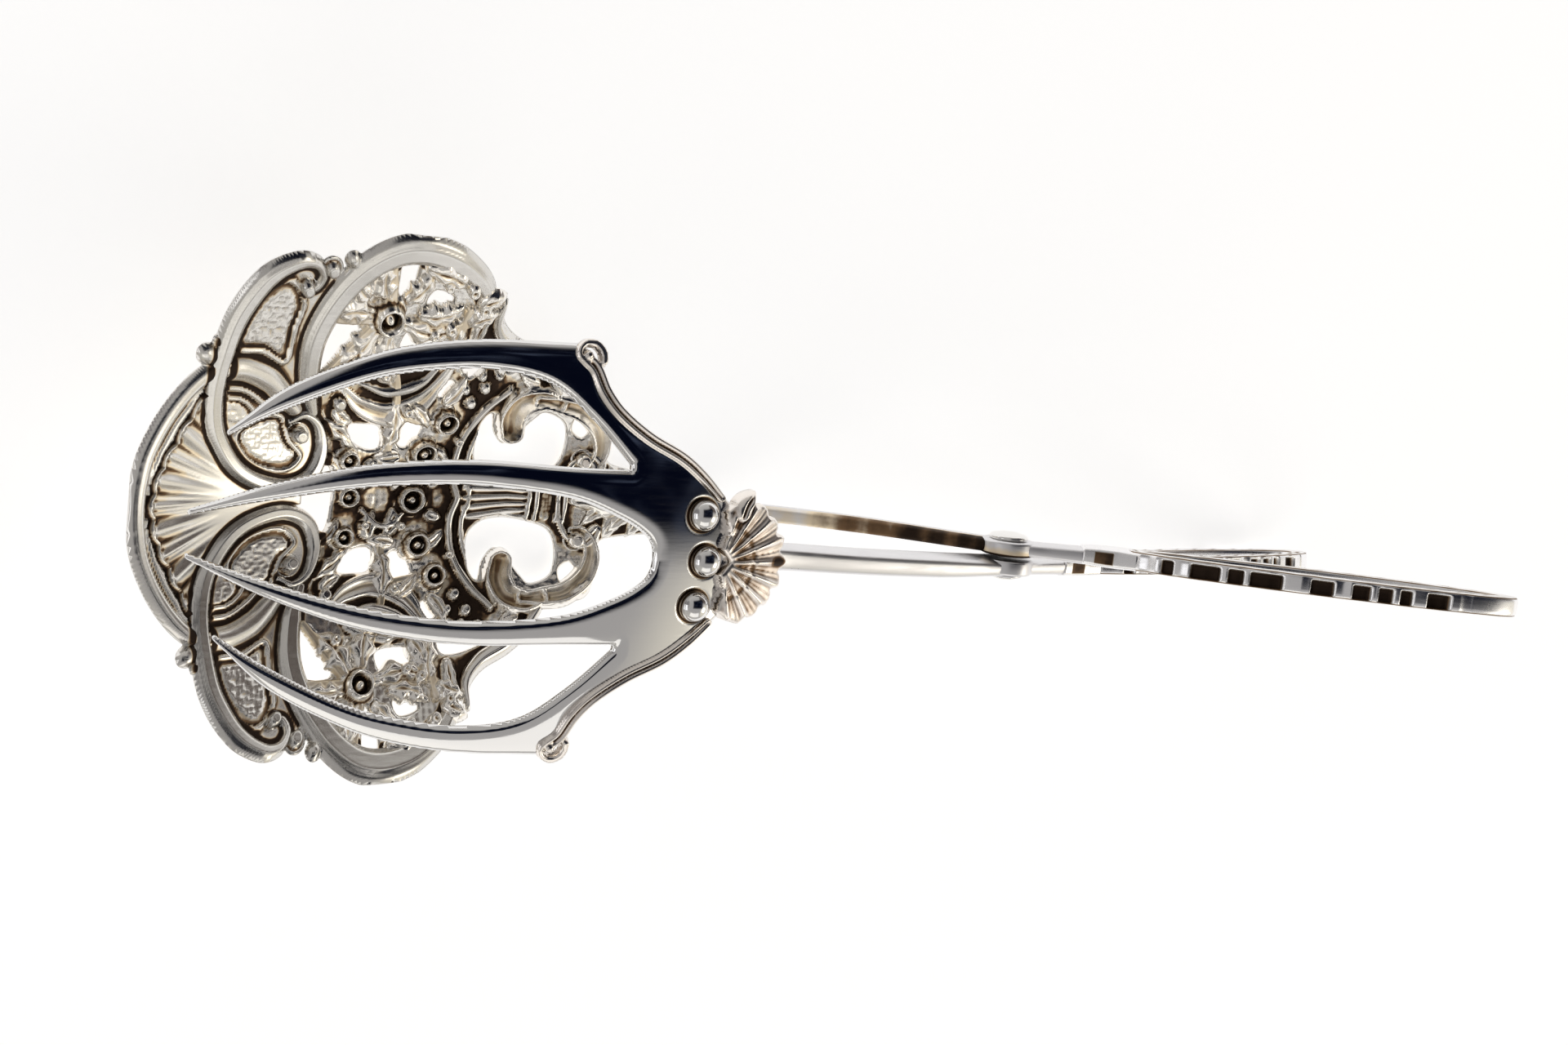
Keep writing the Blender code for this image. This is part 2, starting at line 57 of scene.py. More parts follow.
# ------------------------------------------------------------------ materials
def silver(name, seed=0.0, rough=0.10, ox_lo=0.25, ox_hi=0.8, tint=(0.90, 0.885, 0.86), warm=(0.86, 0.74, 0.56),
           dark=(0.045, 0.030, 0.022), scratch=0.06, bump=0.02):
    m = bpy.data.materials.new(name); m.use_nodes = True
    nt = m.node_tree; N = nt.nodes; L = nt.links
    b = N["Principled BSDF"]; b.inputs["Metallic"].default_value = 1.0
    att = N.new("ShaderNodeAttribute"); att.attribute_name = "ox"
    tc = N.new("ShaderNodeTexCoord")
    mp = N.new("ShaderNodeMapping"); mp.inputs["Location"].default_value = (seed, seed * 1.7, seed * 0.6)
    L.new(tc.outputs["Object"], mp.inputs["Vector"])
    n1 = N.new("ShaderNodeTexNoise"); n1.inputs["Scale"].default_value = 420.0; n1.inputs["Detail"].default_value = 5.0
    n2 = N.new("ShaderNodeTexNoise"); n2.inputs["Scale"].default_value = 90.0; n2.inputs["Detail"].default_value = 4.0
    L.new(mp.outputs[0], n1.inputs["Vector"]); L.new(mp.outputs[0], n2.inputs["Vector"])
    # tarnish and painted shade = the per-vertex attribute (tarnish in hollows, plus painted shade beside bands, round
    # and under the claw's balls, at the cuff's end, in the loop cells and on the loop sides, and between the pivot
    # bosses), broken up by noise
    a1 = N.new("ShaderNodeMath"); a1.operation = "MULTIPLY_ADD"
    L.new(n1.outputs["Fac"], a1.inputs[0]); a1.inputs[1].default_value = 0.34; L.new(att.outputs["Fac"], a1.inputs[2])
    a2 = N.new("ShaderNodeMath"); a2.operation = "MULTIPLY_ADD"
    L.new(n2.outputs["Fac"], a2.inputs[0]); a2.inputs[1].default_value = 0.22; L.new(a1.outputs[0], a2.inputs[2])
    a3 = N.new("ShaderNodeMath"); a3.operation = "SUBTRACT"; L.new(a2.outputs[0], a3.inputs[0]); a3.inputs[1].default_value = 0.28
    ramp = N.new("ShaderNodeValToRGB"); L.new(a3.outputs[0], ramp.inputs[0])
    r = ramp.color_ramp; r.interpolation = "EASE"
    r.elements[0].position = ox_lo; r.elements[0].color = (*tint, 1)
    r.elements[1].position = ox_hi; r.elements[1].color = (*dark, 1)
    e = r.elements.new(ox_lo + (ox_hi - ox_lo) * 0.35); e.color = (*warm, 1)
    e = r.elements.new(ox_lo + (ox_hi - ox_lo) * 0.68); e.color = (0.22, 0.135, 0.075, 1)
    L.new(ramp.outputs[0], b.inputs["Base Color"])
    # fine wear scratches: stretched noise, in roughness and bump
    mp2 = N.new("ShaderNodeMapping"); mp2.inputs["Scale"].default_value = (160.0, 2600.0, 900.0)
    mp2.inputs["Rotation"].default_value = (0.2, 0.1, 0.35 + seed)
    L.new(tc.outputs["Object"], mp2.inputs["Vector"])
    n3 = N.new("ShaderNodeTexNoise"); n3.inputs["Scale"].default_value = 1.0; n3.inputs["Detail"].default_value = 6.0
    L.new(mp2.outputs[0], n3.inputs["Vector"])
    rr = N.new("ShaderNodeMapRange"); L.new(n3.outputs["Fac"], rr.inputs["Value"])
    rr.inputs["From Min"].default_value = 0.35; rr.inputs["From Max"].default_value = 0.75
    rr.inputs["To Min"].default_value = rough; rr.inputs["To Max"].default_value = rough + scratch
    r2 = N.new("ShaderNodeMath"); r2.operation = "MULTIPLY_ADD"
    cl = N.new("ShaderNodeMath"); cl.operation = "MULTIPLY"; cl.use_clamp = True
    L.new(a3.outputs[0], cl.inputs[0]); cl.inputs[1].default_value = 1.0
    L.new(cl.outputs[0], r2.inputs[0]); r2.inputs[1].default_value = 0.42; L.new(rr.outputs[0], r2.inputs[2])
    L.new(r2.outputs[0], b.inputs["Roughness"])
    bp = N.new("ShaderNodeBump"); bp.inputs["Strength"].default_value = bump; bp.inputs["Distance"].default_value = 0.0002
    mix = N.new("ShaderNodeMath"); mix.operation = "MULTIPLY_ADD"
    L.new(n1.outputs["Fac"], mix.inputs[0]); mix.inputs[1].default_value = 0.6; L.new(n3.outputs["Fac"], mix.inputs[2])
    L.new(mix.outputs[0], bp.inputs["Height"]); L.new(bp.outputs[0], b.inputs["Normal"])
    return m

TINT = (0.80, 0.775, 0.735)
MAT_BOWL = silver("bowl_silver", 0.3, rough=0.15, ox_lo=0.18, ox_hi=0.60, tint=TINT)
MAT_PANEL = silver("panel_silver", 1.1, rough=0.19, ox_lo=0.2, ox_hi=0.70, tint=TINT)
MAT_BAND = silver("band_silver", 2.3, rough=0.18, ox_lo=0.25, ox_hi=0.70, tint=(0.70, 0.68, 0.645), warm=(0.60, 0.51, 0.40))
MAT_SPRAY = silver("spray_silver", 3.7, rough=0.15, ox_lo=0.18, ox_hi=0.72, tint=(0.96, 0.925, 0.87))
MAT_CLAW = silver("claw_silver", 4.9, rough=0.055, ox_lo=0.45, ox_hi=1.0, tint=(0.81, 0.80, 0.79), scratch=0.05, bump=0.012)
MAT_CUFF = silver("cuff_silver", 5.3, rough=0.20, ox_lo=0.18, ox_hi=0.68, tint=(0.93, 0.87, 0.81), warm=(0.72, 0.63, 0.56))
MAT_BAR = silver("bar_silver", 6.1, rough=0.26, ox_lo=0.33, ox_hi=0.95, tint=(0.80, 0.79, 0.80), scratch=0.10, bump=0.03)
MAT_LOOP = silver("loop_silver", 7.7, rough=0.20, ox_lo=0.20, ox_hi=0.8, tint=(0.94, 0.93, 0.935), warm=(0.66, 0.62, 0.56))
MAT_RIVET = silver("rivet_silver", 8.2, rough=0.14, ox_lo=0.3, ox_hi=0.9)

# ------------------------------------------------------------------ surfaces (mm, pivot at the origin)
def bowl_z(x, y):
    u = np.maximum(0.0, (-60.0 - x) / 46.5); v = np.abs(y) / 32.5
    g = np.maximum(0.0, (np.hypot(u, v) - 0.2) / 0.8)
    return -25.0 + 19.5 * g ** 1.7

def claw_z(x, y):
    return 18.6 - (x + 75.0) ** 2 / 208.0 - y * y / 150.0

def normals(f, x, y):
    e = 0.02
    n = np.stack([-(f(x + e, y) - f(x - e, y)) / (2 * e), -(f(x, y + e) - f(x, y - e)) / (2 * e), np.ones_like(x)], -1)
    return n / np.linalg.norm(n, axis=-1)[..., None]

def run(points, steps=8):
    p = [np.array(q, float) for q in points]
    if len(p) < 3: return np.array(p)
    p = [2 * p[0] - p[1]] + p + [2 * p[-1] - p[-2]]
    out = []
    for i in range(1, len(p) - 2):
        a, b, c, d = p[i - 1], p[i], p[i + 1], p[i + 2]
        for k in range(steps):
            t = k / steps
            out.append(0.5 * (2 * b + (c - a) * t + (2 * a - 5 * b + 4 * c - d) * t * t + (3 * b - a - 3 * c + d) * t ** 3))
    out.append(p[-2])
    return np.array(out)

def outline(*runs, steps=8):
    out = []
    for points in runs:
        piece = list(run(points, steps))
        if out and np.linalg.norm(out[-1] - piece[0]) < 1e-6: piece = piece[1:]
        out += piece
    if np.linalg.norm(out[-1] - out[0]) < 1e-6: out.pop()
    return np.array(out)

def spiral(cx, cy, r0, a0, turns, sense=1, r1=0.25, n=40):
    t = np.linspace(0, 1, n); a = a0 + sense * 2 * math.pi * turns * t
    r = r0 * (1 - t) ** 1.15 + r1
    return np.stack([cx + r * np.cos(a), cy + r * np.sin(a)], 1)

def dome(s, w, h=1.0):
    u = np.clip(s / w, 0, 1)
    return h * (u * (2 - u)) ** 0.85

def sstep(x, a, b):
    t = np.clip((x - a) / (b - a), 0, 1); return t * t * (3 - 2 * t)

def blur(a, k):
    for axis in (0, 1):
        c = np.cumsum(np.pad(a, [(k + 1, k) if i == axis else (0, 0) for i in (0, 1)], mode="edge"), axis=axis)
        n = a.shape[axis]
        hi = np.take(c, np.arange(2 * k + 1, 2 * k + 1 + n), axis=axis); lo = np.take(c, np.arange(0, n), axis=axis)
        a = (hi - lo) / (2 * k + 1)
    return a

class Canvas:
    """Relief on a dished surface: each element adds to the outline (a signed distance, inside positive) and to the height."""
    def __init__(self, surf, box, step):
        self.surf = surf; x0, x1, y0, y1 = box
        self.xs = np.arange(x0, x1 + step, step); self.ys = np.arange(y0, y1 + step, step); self.step = step
        self.X, self.Y = np.meshgrid(self.xs, self.ys)
        self.S = np.full(self.X.shape, -9.0); self.T = np.zeros(self.X.shape); self.ox = np.zeros(self.X.shape)
    def win(self, p, m):
        i0, i1 = np.searchsorted(self.xs, [p[:, 0].min() - m, p[:, 0].max() + m])
        j0, j1 = np.searchsorted(self.ys, [p[:, 1].min() - m, p[:, 1].max() + m])
        return slice(j0, max(j1, j0 + 1)), slice(i0, max(i1, i0 + 1))
    def dist(self, path, m=4.0):
        """(window, distance, arc position 0..1, signed side)"""
        path = np.asarray(path, float); w = self.win(path, m); X, Y = self.X[w], self.Y[w]
        best = np.full(X.shape, 1e9); T = np.zeros(X.shape); side = np.zeros(X.shape)
        seg = np.diff(path, axis=0); ln = np.hypot(*seg.T); cum = np.concatenate([[0], np.cumsum(ln)]); tot = cum[-1]
        for k in range(len(seg)):
            if ln[k] < 1e-9: continue
            ax, ay = path[k]; ux, uy = seg[k] / ln[k]
            t = np.clip((X - ax) * ux + (Y - ay) * uy, 0, ln[k])
            dx, dy = X - ax - t * ux, Y - ay - t * uy; d = np.hypot(dx, dy)
            q = d < best
            best = np.where(q, d, best); T = np.where(q, (cum[k] + t) / tot, T); side = np.where(q, ux * dy - uy * dx, side)
        return w, best, T, np.sign(side)
    def put(self, w, s, top, ox=0.0):
        self.T[w] = np.where(s > 0, np.maximum(self.T[w], top), self.T[w])
        self.ox[w] = np.where((s > 0) & (top >= self.T[w] - 1e-9), ox, self.ox[w])
        self.S[w] = np.maximum(self.S[w], s)
    def band(self, path, width, h=0.9, base=0.0, flat=0.5, groove=0.0, lines=0.0, taper=True, dish=0.0, ox=0.0):
        """A moulded band: widths along it, a domed section, optional edge lines or a centre groove."""
        path = np.asarray(path, float); width = np.atleast_1d(width)
        w, d, t, side = self.dist(path)
        hw = np.interp(t, np.linspace(0, 1, len(width)), width) / 2
        s = hw - d; u = np.clip(d / np.maximum(hw, 1e-6), 0, 1)
        hh = h * np.minimum(1.0, hw / (0.5 * width.max())) ** 0.7 if taper else h
        top = base + hh * dome(s, np.maximum(hw * (1 - flat), 0.15))
        if groove: top -= groove * np.exp(-(u / 0.22) ** 2)
        if dish: top -= dish * hh * np.clip(1 - (u / 0.72) ** 2, 0, 1)
        if lines: top -= lines * np.exp(-((u - 0.62) / 0.09) ** 2)
        self.put(w, s, top, ox); return self
    def paint_band_shade(self, path, width, amount=0.9, spread=0.30):
        """Painted shade in the corner beside a band that lies on this piece: the field next to the band is darkened
        where the band's shadow falls.
        """
        path = np.asarray(path, float); width = np.atleast_1d(width); w, d, t, side = self.dist(path)
        hw = np.interp(t, np.linspace(0, 1, len(width)), width) / 2
        k = amount * np.exp(-(np.clip(d - hw - 0.05, 0, 9) / spread) ** 2) * (d > hw * 0.6) * np.clip(self.S[w] / 0.35, 0, 1)
        self.ox[w] = np.maximum(self.ox[w], k); return self
    def poly(self, pts, h=0.5, edge=0.5, base=0.0, fn=None):
        pts = np.asarray(pts, float); w, d, t, side = self.dist(np.vstack([pts, pts[:1]]), 1.5)
        X, Y = self.X[w], self.Y[w]; inside = np.zeros(X.shape, bool); j = len(pts) - 1
        for i in range(len(pts)):
            (xi, yi), (xj, yj) = pts[i], pts[j]
            if yi != yj: inside ^= ((yi > Y) != (yj > Y)) & (X < (xj - xi) * (Y - yi) / (yj - yi) + xi)
            j = i
        s = np.where(inside, d, -d)
        top = base + dome(s, edge, h)
        if fn is not None: top = top + fn(X, Y, s)
        self.put(w, s, top); return self
    def disc(self, cx, cy, r, h=0.9, base=0.0, fn=None, edge=0.6):
        w = self.win(np.array([[cx, cy]]), r + 1.0); X, Y = self.X[w], self.Y[w]
        dx, dy = X - cx, Y - cy; s = r - np.hypot(dx, dy); top = base + dome(s, r * edge, h)
        if fn is not None: top = top + fn(dx / r, dy / r)
        self.put(w, s, top); return self
    def eye(self, cx, cy, r, h=1.2):
        """A volute's eye: a ball in a sunk ring."""
        def fn(u, v):
            q = np.hypot(u, v); return -0.75 * h * np.exp(-((q - 0.70) / 0.13) ** 2)
        return self.disc(cx, cy, r, h, fn=fn)
    def flower(self, cx, cy, r, n=5, turn=0.0, h=1.3, base=0.0):
        w = self.win(np.array([[cx, cy]]), r + 1.2); X, Y = self.X[w], self.Y[w]
        dx, dy = X - cx, Y - cy; q = np.hypot(dx, dy); a = np.arctan2(dy, dx) + turn
        lobe = np.abs(np.cos(n * a / 2)); R = r * (0.84 + 0.16 * lobe ** 0.7); s = R - q; u = q / r
        top = base + 0.62 * h * dome(s, 0.30 * r) - 0.30 * h * (1 - lobe) ** 3 * sstep(u, 0.55, 0.75)
        top -= 0.22 * h * np.exp(-((u - 0.80) / 0.07) ** 2) * lobe                 # cupped petals
        top += 0.42 * h * np.exp(-((u - 0.58) / 0.11) ** 2)                        # raised ring
        top -= 0.50 * h * np.exp(-((u - 0.33) / 0.09) ** 2)                        # dark moat
        top += 0.30 * h * np.exp(-(u / 0.18) ** 2)                                 # centre ball
        better = (s > 0) & (top >= self.T[w] - 0.9 * h * (u < 0.45))
        self.T[w] = np.where(better, np.where(u < 0.66, top, np.maximum(self.T[w], top)), self.T[w])
        self.ox[w] = np.maximum(self.ox[w] * (s <= 0), 0.9 * np.exp(-((u - 0.33) / 0.085) ** 2) * (s > 0)) + 0.75 * np.exp(-((u - 0.75) / 0.05) ** 2) * (s > 0)
        self.S[w] = np.maximum(self.S[w], s); return self
    def leaf(self, x0, y0, x1, y1, wd, h=0.9, bend=0.0, veins=5, lobes=0.0, base=0.0):
        p0, p1 = np.array([x0, y0]), np.array([x1, y1]); ax = p1 - p0; ln = np.hypot(*ax); nrm = np.array([-ax[1], ax[0]]) / ln
        mid = (p0 + p1) / 2 + nrm * bend; path = run([p0, mid, p1], 8)
        w, d, t, side = self.dist(path)
        prof = np.sin(np.pi * np.clip(t, 0, 1) ** 0.75) ** 0.8 * wd / 2 + 0.10
        if lobes: prof = prof * (1 - 0.55 * lobes * (0.5 - 0.5 * np.cos(2 * np.pi * 3 * t)))
        s = prof - d; u = np.clip(d / np.maximum(prof, 1e-3), 0, 1)
        top = base + dome(s, 0.75 * wd / 2, h) - 0.30 * h * np.exp(-(d / 0.22) ** 2)
        top += 0.06 * h * np.cos(2 * np.pi * (0.7 * veins * t - 0.6 * u)) * sstep(u, 0.2, 0.45)
        self.put(w, s, top); return self
    def mesh(self, name, mat, body, nodes=(), under=0.9, under_w=0.7, mid=0.0, slot=None, smooth_under=True, cav=2.0, cav0=0.0, post=None):
        X, Y, S, T = self.X, self.Y, self.S.copy(), self.T
        st = self.step
        S[(S > 0) & (S < 0.08 * st)] = -0.02 * st
        S[[0, -1], :] = np.minimum(S[[0, -1], :], -0.1); S[:, [0, -1]] = np.minimum(S[:, [0, -1]], -0.1)
        inside = S > 0
        lip = np.clip(S / (1.15 * st), 0, 1); edge_free = np.clip((S - 0.15) / 0.45, 0, 1)
        top = np.where(inside, np.maximum(T, 0.02), 0.0)
        filled = np.where(inside, top, 0.0); wgt = blur(inside.astype(float), 3) + 1e-6
        cavity = np.clip((blur(filled, 3) / wgt - top) * cav + cav0, 0, 1)
        cavity = np.maximum(cavity, np.clip((blur(filled, 7) / (blur(inside.astype(float), 7) + 1e-6) - top) * cav * 0.55 + cav0, 0, 1))
        cavity = np.maximum(cavity * edge_free, self.ox)
        top = top * lip; u = np.clip(S / under_w, 0, 1); bot = -under * u * (2 - u)
        ny, nx = X.shape
        vt = -np.ones((ny, nx), int); vb = vt.copy()
        k = int(inside.sum()); vt[inside] = np.arange(k); vb[inside] = k + np.arange(k)
        px, py, pz, po = [X[inside]] * 2, [Y[inside]] * 2, [top[inside] + mid, bot[inside] + mid], [cavity[inside], 0.20 + 0.30 * cavity[inside]]
        cnt = 2 * k
        eh = -np.ones((ny, nx), int); ev = eh.copy()
        for arr, dj, di in ((eh, 0, 1), (ev, 1, 0)):
            A = S[:ny - dj, :nx - di]; B = S[dj:, di:]; cr = (A > 0) != (B > 0)
            j, i = np.where(cr); t = A[cr] / (A[cr] - B[cr])
            px.append(X[j, i] + t * (X[j + dj, i + di] - X[j, i])); py.append(Y[j, i] + t * (Y[j + dj, i + di] - Y[j, i])); pz.append(np.full(len(j), float(mid)))
            po.append(np.full(len(j), 0.04))
            arr[j, i] = cnt + np.arange(len(j)); cnt += len(j)
        x, y, z, o = (np.concatenate(q) for q in (px, py, pz, po))
        P = np.stack([x, y, self.surf(x, y)], -1) + normals(self.surf, x, y) * z[:, None]
        if post is not None: P = post(P)
        faces = []
        c = [inside[:-1, :-1], inside[:-1, 1:], inside[1:, 1:], inside[1:, :-1]]
        code = c[0] * 1 + c[1] * 2 + c[2] * 4 + c[3] * 8
        j, i = np.where(code == 15)
        for V, flip in ((vt, False), (vb, True)):
            q = np.stack([V[j, i], V[j, i + 1], V[j + 1, i + 1], V[j + 1, i]], 1)
            faces += (q[:, ::-1] if flip else q).tolist()
        corner = [(0, 0), (0, 1), (1, 1), (1, 0)]
        def edge(j, i, e):
            return (eh[j, i], ev[j, i + 1], eh[j + 1, i], ev[j, i])[e]
        j, i = np.where((code > 0) & (code < 15))
        for a, b in zip(j, i):
            cd = code[a, b]
            loops = []
            if cd in (5, 10):
                ks = (0, 2) if cd == 5 else (1, 3)
                loops = [[("e", (q - 1) % 4), ("c", q), ("e", q)] for q in ks]
            else:
                lp = []
                for q in range(4):
                    if cd >> q & 1: lp.append(("c", q))
                    if (cd >> q & 1) != (cd >> ((q + 1) % 4) & 1): lp.append(("e", q))
                loops = [lp]
            for lp in loops:
                for V, flip in ((vt, False), (vb, True)):
                    f = [int(V[a + corner[q][0], b + corner[q][1]]) if kd == "c" else int(edge(a, b, q)) for kd, q in lp]
                    faces.append(f[::-1] if flip else f)
        ob = make(name, P, faces, mat, body, o)
        for n in nodes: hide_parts(n)
        return ob

LO = np.array(CAD_LO) + 2e-5; HI = np.array(CAD_HI) - 2e-5

def make(name, P, faces, mat, body, ox=None, smooth=True):
    P = np.clip(np.asarray(P) * 0.001 + PIV, LO, HI)
    me = bpy.data.meshes.new(name); me.from_pydata(P.tolist(), [], faces); me.update()
    if ox is not None:
        at = me.attributes.new("ox", "FLOAT", "POINT"); at.data.foreach_set("value", np.asarray(ox, np.float32))
    me.materials.append(mat)
    ob = bpy.data.objects.new(name, me); bpy.context.scene.collection.objects.link(ob)
    if smooth: me.shade_smooth()
    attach(ob, body)
    return ob

def cut(cv, pts, soft=0.0):
    """Pierces a hole through a canvas."""
    pts = np.asarray(pts, float); w, d, t, side = cv.dist(np.vstack([pts, pts[:1]]), 1.6)
    X, Y = cv.X[w], cv.Y[w]; inside = np.zeros(X.shape, bool); j = len(pts) - 1
    for i in range(len(pts)):
        (xi, yi), (xj, yj) = pts[i], pts[j]
        if yi != yj: inside ^= ((yi > Y) != (yj > Y)) & (X < (xj - xi) * (Y - yi) / (yj - yi) + xi)
        j = i
    s = np.where(inside, -d, d)
    cv.S[w] = np.minimum(cv.S[w], s)

def closed(pts, steps=6):
    p = [np.array(q, float) for q in pts]; n = len(p); out = []
    for i in range(n):
        a, b, c, d = p[i - 1], p[i], p[(i + 1) % n], p[(i + 2) % n]
        for k in range(steps):
            t = k / steps
            out.append(0.5 * (2 * b + (c - a) * t + (2 * a - 5 * b + 4 * c - d) * t * t + (3 * b - a - 3 * c + d) * t ** 3))
    return np.array(out)

def flip(pts, sg):
    return [(q[0], q[1] * sg) for q in pts]

def pebble(X, Y, s, amp=0.075, cell=0.56):
    """Rounded grains on a jittered grid."""
    gx, gy = np.floor(X / cell), np.floor(Y / cell); best = np.full(X.shape, 9.0)
    for di in (-1, 0, 1):
        for dj in (-1, 0, 1):
            a, b = gx + di, gy + dj
            h1 = np.modf(np.abs(np.sin(a * 127.1 + b * 311.7) * 43758.5453))[0]
            h2 = np.modf(np.abs(np.sin(a * 269.5 + b * 183.3) * 24634.6345))[0]
            best = np.minimum(best, np.hypot(X - (a + 0.2 + 0.6 * h1) * cell, Y - (b + 0.2 + 0.6 * h2) * cell))
    return amp * (1 - (best / (0.55 * cell)) ** 2).clip(-0.6, 1)

def drift(x, y):
    """The casting's centre line is not quite straight: the ornament runs a touch to one side."""
    w = np.clip((-60.0 - x) / 12.0, 0, 1) * 1.2
    return y - w * np.clip(1 - (y / 26.0) ** 2, 0, 1)

def bowl_surface(x, y):
    return bowl_z(x, y)

class BowlCanvas(Canvas):
    def mesh(self, *a, **k):
        keep = self.surf, self.Y
        self.Y = np.where(True, drift(self.X, self.Y), 0)
        try: return super().mesh(*a, **k)
        finally: self.surf, self.Y = keep

MID, UND, BASE = -0.5, 0.6, 0.40
STEP = 0.2

# ------------------------------------------------------------------ bowl: cartouches (band and sunk field)
C_BAND = [(-89.1, 24.6), (-88.0, 25.0), (-87.5, 26.3), (-88.5, 27.6), (-90.6, 27.6), (-93.6, 25.6), (-96.1, 21.6), (-97.3, 17.2), (-97.9, 13.0),
          (-97.6, 9.3), (-96.4, 6.4), (-94.4, 3.8), (-91.6, 2.2), (-88.2, 1.6), (-85.4, 2.9), (-84.3, 5.9), (-85.0, 8.9), (-86.8, 10.2), (-88.6, 9.4)]
C_WIDE = [0.9, 1.3, 1.8, 2.2, 2.4, 2.4, 2.4, 2.4, 2.4, 2.3, 2.3, 2.3, 2.3, 2.2, 2.1, 1.8, 1.4, 0.9]
ARCH = [(-85.9, 10.6), (-86.9, 13.9), (-87.1, 18.7), (-85.7, 23.0), (-83.0, 27.0), (-79.8, 29.5), (-76.6, 30.25), (-73.0, 29.7), (-70.0, 28.3), (-67.9, 26.6), (-66.9, 24.6)]
ARCH_WIDE = [1.6, 2.8, 3.1, 3.2, 3.3, 3.4, 3.4, 3.4, 3.3, 2.8, 2.0]
for word, sg in (("left", 1), ("right", -1)):
    cv = BowlCanvas(bowl_surface, (-101, -81.5, *((0, 31) if sg > 0 else (-31, 0))), STEP)
    fieldp = closed(flip([(-97.6, 9.5), (-97.9, 13.2), (-97.2, 17.4), (-95.8, 21.8), (-93.2, 25.4), (-90.2, 27.4), (-86.2, 26.4), (-85.8, 24.2), (-87.2, 20.0),
                          (-87.4, 16.0), (-86.2, 12.6), (-84.4, 10.6), (-83.8, 6.4), (-85.6, 3.2), (-89.0, 1.9), (-93.6, 3.4), (-96.4, 6.6)], sg))
    cv.poly(fieldp, h=0.12, edge=0.3, base=0.25)
    def frame_line(pts, w=0.62, h=0.42, close=True):
        p = closed(flip(pts, sg)) if close else run(flip(pts, sg)); cv.band(np.vstack([p, p[:1]]) if close else p, w, h=h, base=0.28, taper=False)
    peb1 = [(-95.2, 18.7), (-94.6, 20.9), (-93.0, 23.4), (-91.2, 24.5), (-90.0, 22.9), (-90.4, 20.4), (-90.9, 17.6), (-92.9, 18.5)]
    cv.poly(closed(flip(peb1, sg)), h=0.1, edge=0.3, base=0.42, fn=pebble)
    frame_line([(-95.9, 17.9), (-95.4, 21.0), (-93.6, 24.2), (-91.0, 25.5), (-89.1, 23.3), (-89.6, 20.2), (-90.1, 16.5), (-92.9, 17.6)])
    # polished quarter-round with two nested lines below it
    q = run(flip([(-97.0, 15.5), (-94.4, 15.4), (-91.6, 14.2), (-89.4, 12.0), (-88.2, 10.9)], sg)); cv.band(q, [2.9, 3.1, 3.2, 2.9, 2.0], h=0.95, base=0.3, flat=0.0, taper=False)
    frame_line([(-97.0, 13.3), (-94.6, 13.1), (-92.4, 11.8), (-91.2, 10.6)], close=False)
    frame_line([(-96.6, 12.2), (-94.8, 12.0), (-93.4, 11.0), (-92.9, 9.8), (-93.6, 8.9)], close=False, w=0.5)
    cv.poly(closed(flip([(-96.4, 11.6), (-95.0, 11.5), (-93.9, 10.6), (-93.9, 9.6), (-95.4, 9.3), (-96.4, 10.0)], sg)), h=0.1, edge=0.3, base=0.36, fn=pebble)
    # lower pebbled lobe inside the J of the scroll
    cv.poly(closed(flip([(-94.3, 7.9), (-92.9, 5.7), (-90.6, 4.5), (-88.4, 4.6), (-87.6, 5.6), (-88.9, 6.5), (-89.7, 8.0), (-90.3, 9.4), (-92.2, 9.2)], sg)), h=0.1, edge=0.3, base=0.42, fn=pebble)
    frame_line([(-95.0, 7.8), (-93.4, 5.0), (-90.8, 3.7), (-88.2, 3.7), (-86.9, 5.3), (-88.3, 6.9), (-89.0, 8.4), (-89.9, 10.1), (-92.5, 9.9)], w=0.55)
    frame_line([(-96.2, 19.9), (-94.3, 24.5), (-90.6, 26.5)], close=False, w=0.5, h=0.35)
    frame_line([(-95.9, 7.4), (-94.0, 4.3), (-91.2, 2.9)], close=False, w=0.4, h=0.3)
    # painted shade on the field beside the scroll and arch bands
    cv.paint_band_shade(run(flip(C_BAND, sg)), C_WIDE, 0.95, 0.36); cv.paint_band_shade(run(flip(ARCH, sg)), ARCH_WIDE, 0.9, 0.34)
    cv.mesh("bowl_field_" + word, MAT_PANEL, BOWL, ["bowl_panel_" + word], mid=MID, under=UND, cav=5.2)
    cv = BowlCanvas(bowl_surface, (-101, -81.5, *((-0.5, 31) if sg > 0 else (-31, 0.5))), 0.15)
    p = run(flip(C_BAND, sg)); cv.band(p, C_WIDE, h=1.15, base=0.12, flat=0.34, lines=0.16)
    cv.eye(-89.2, 25.0 * sg, 1.30, 1.55); cv.eye(-87.5, 7.9 * sg, 1.55, 1.7)
    cv.mesh("bowl_scroll_band_" + word, MAT_BAND, BOWL, ["bowl_scroll_" + word], mid=MID, under=UND, cav=3.6)

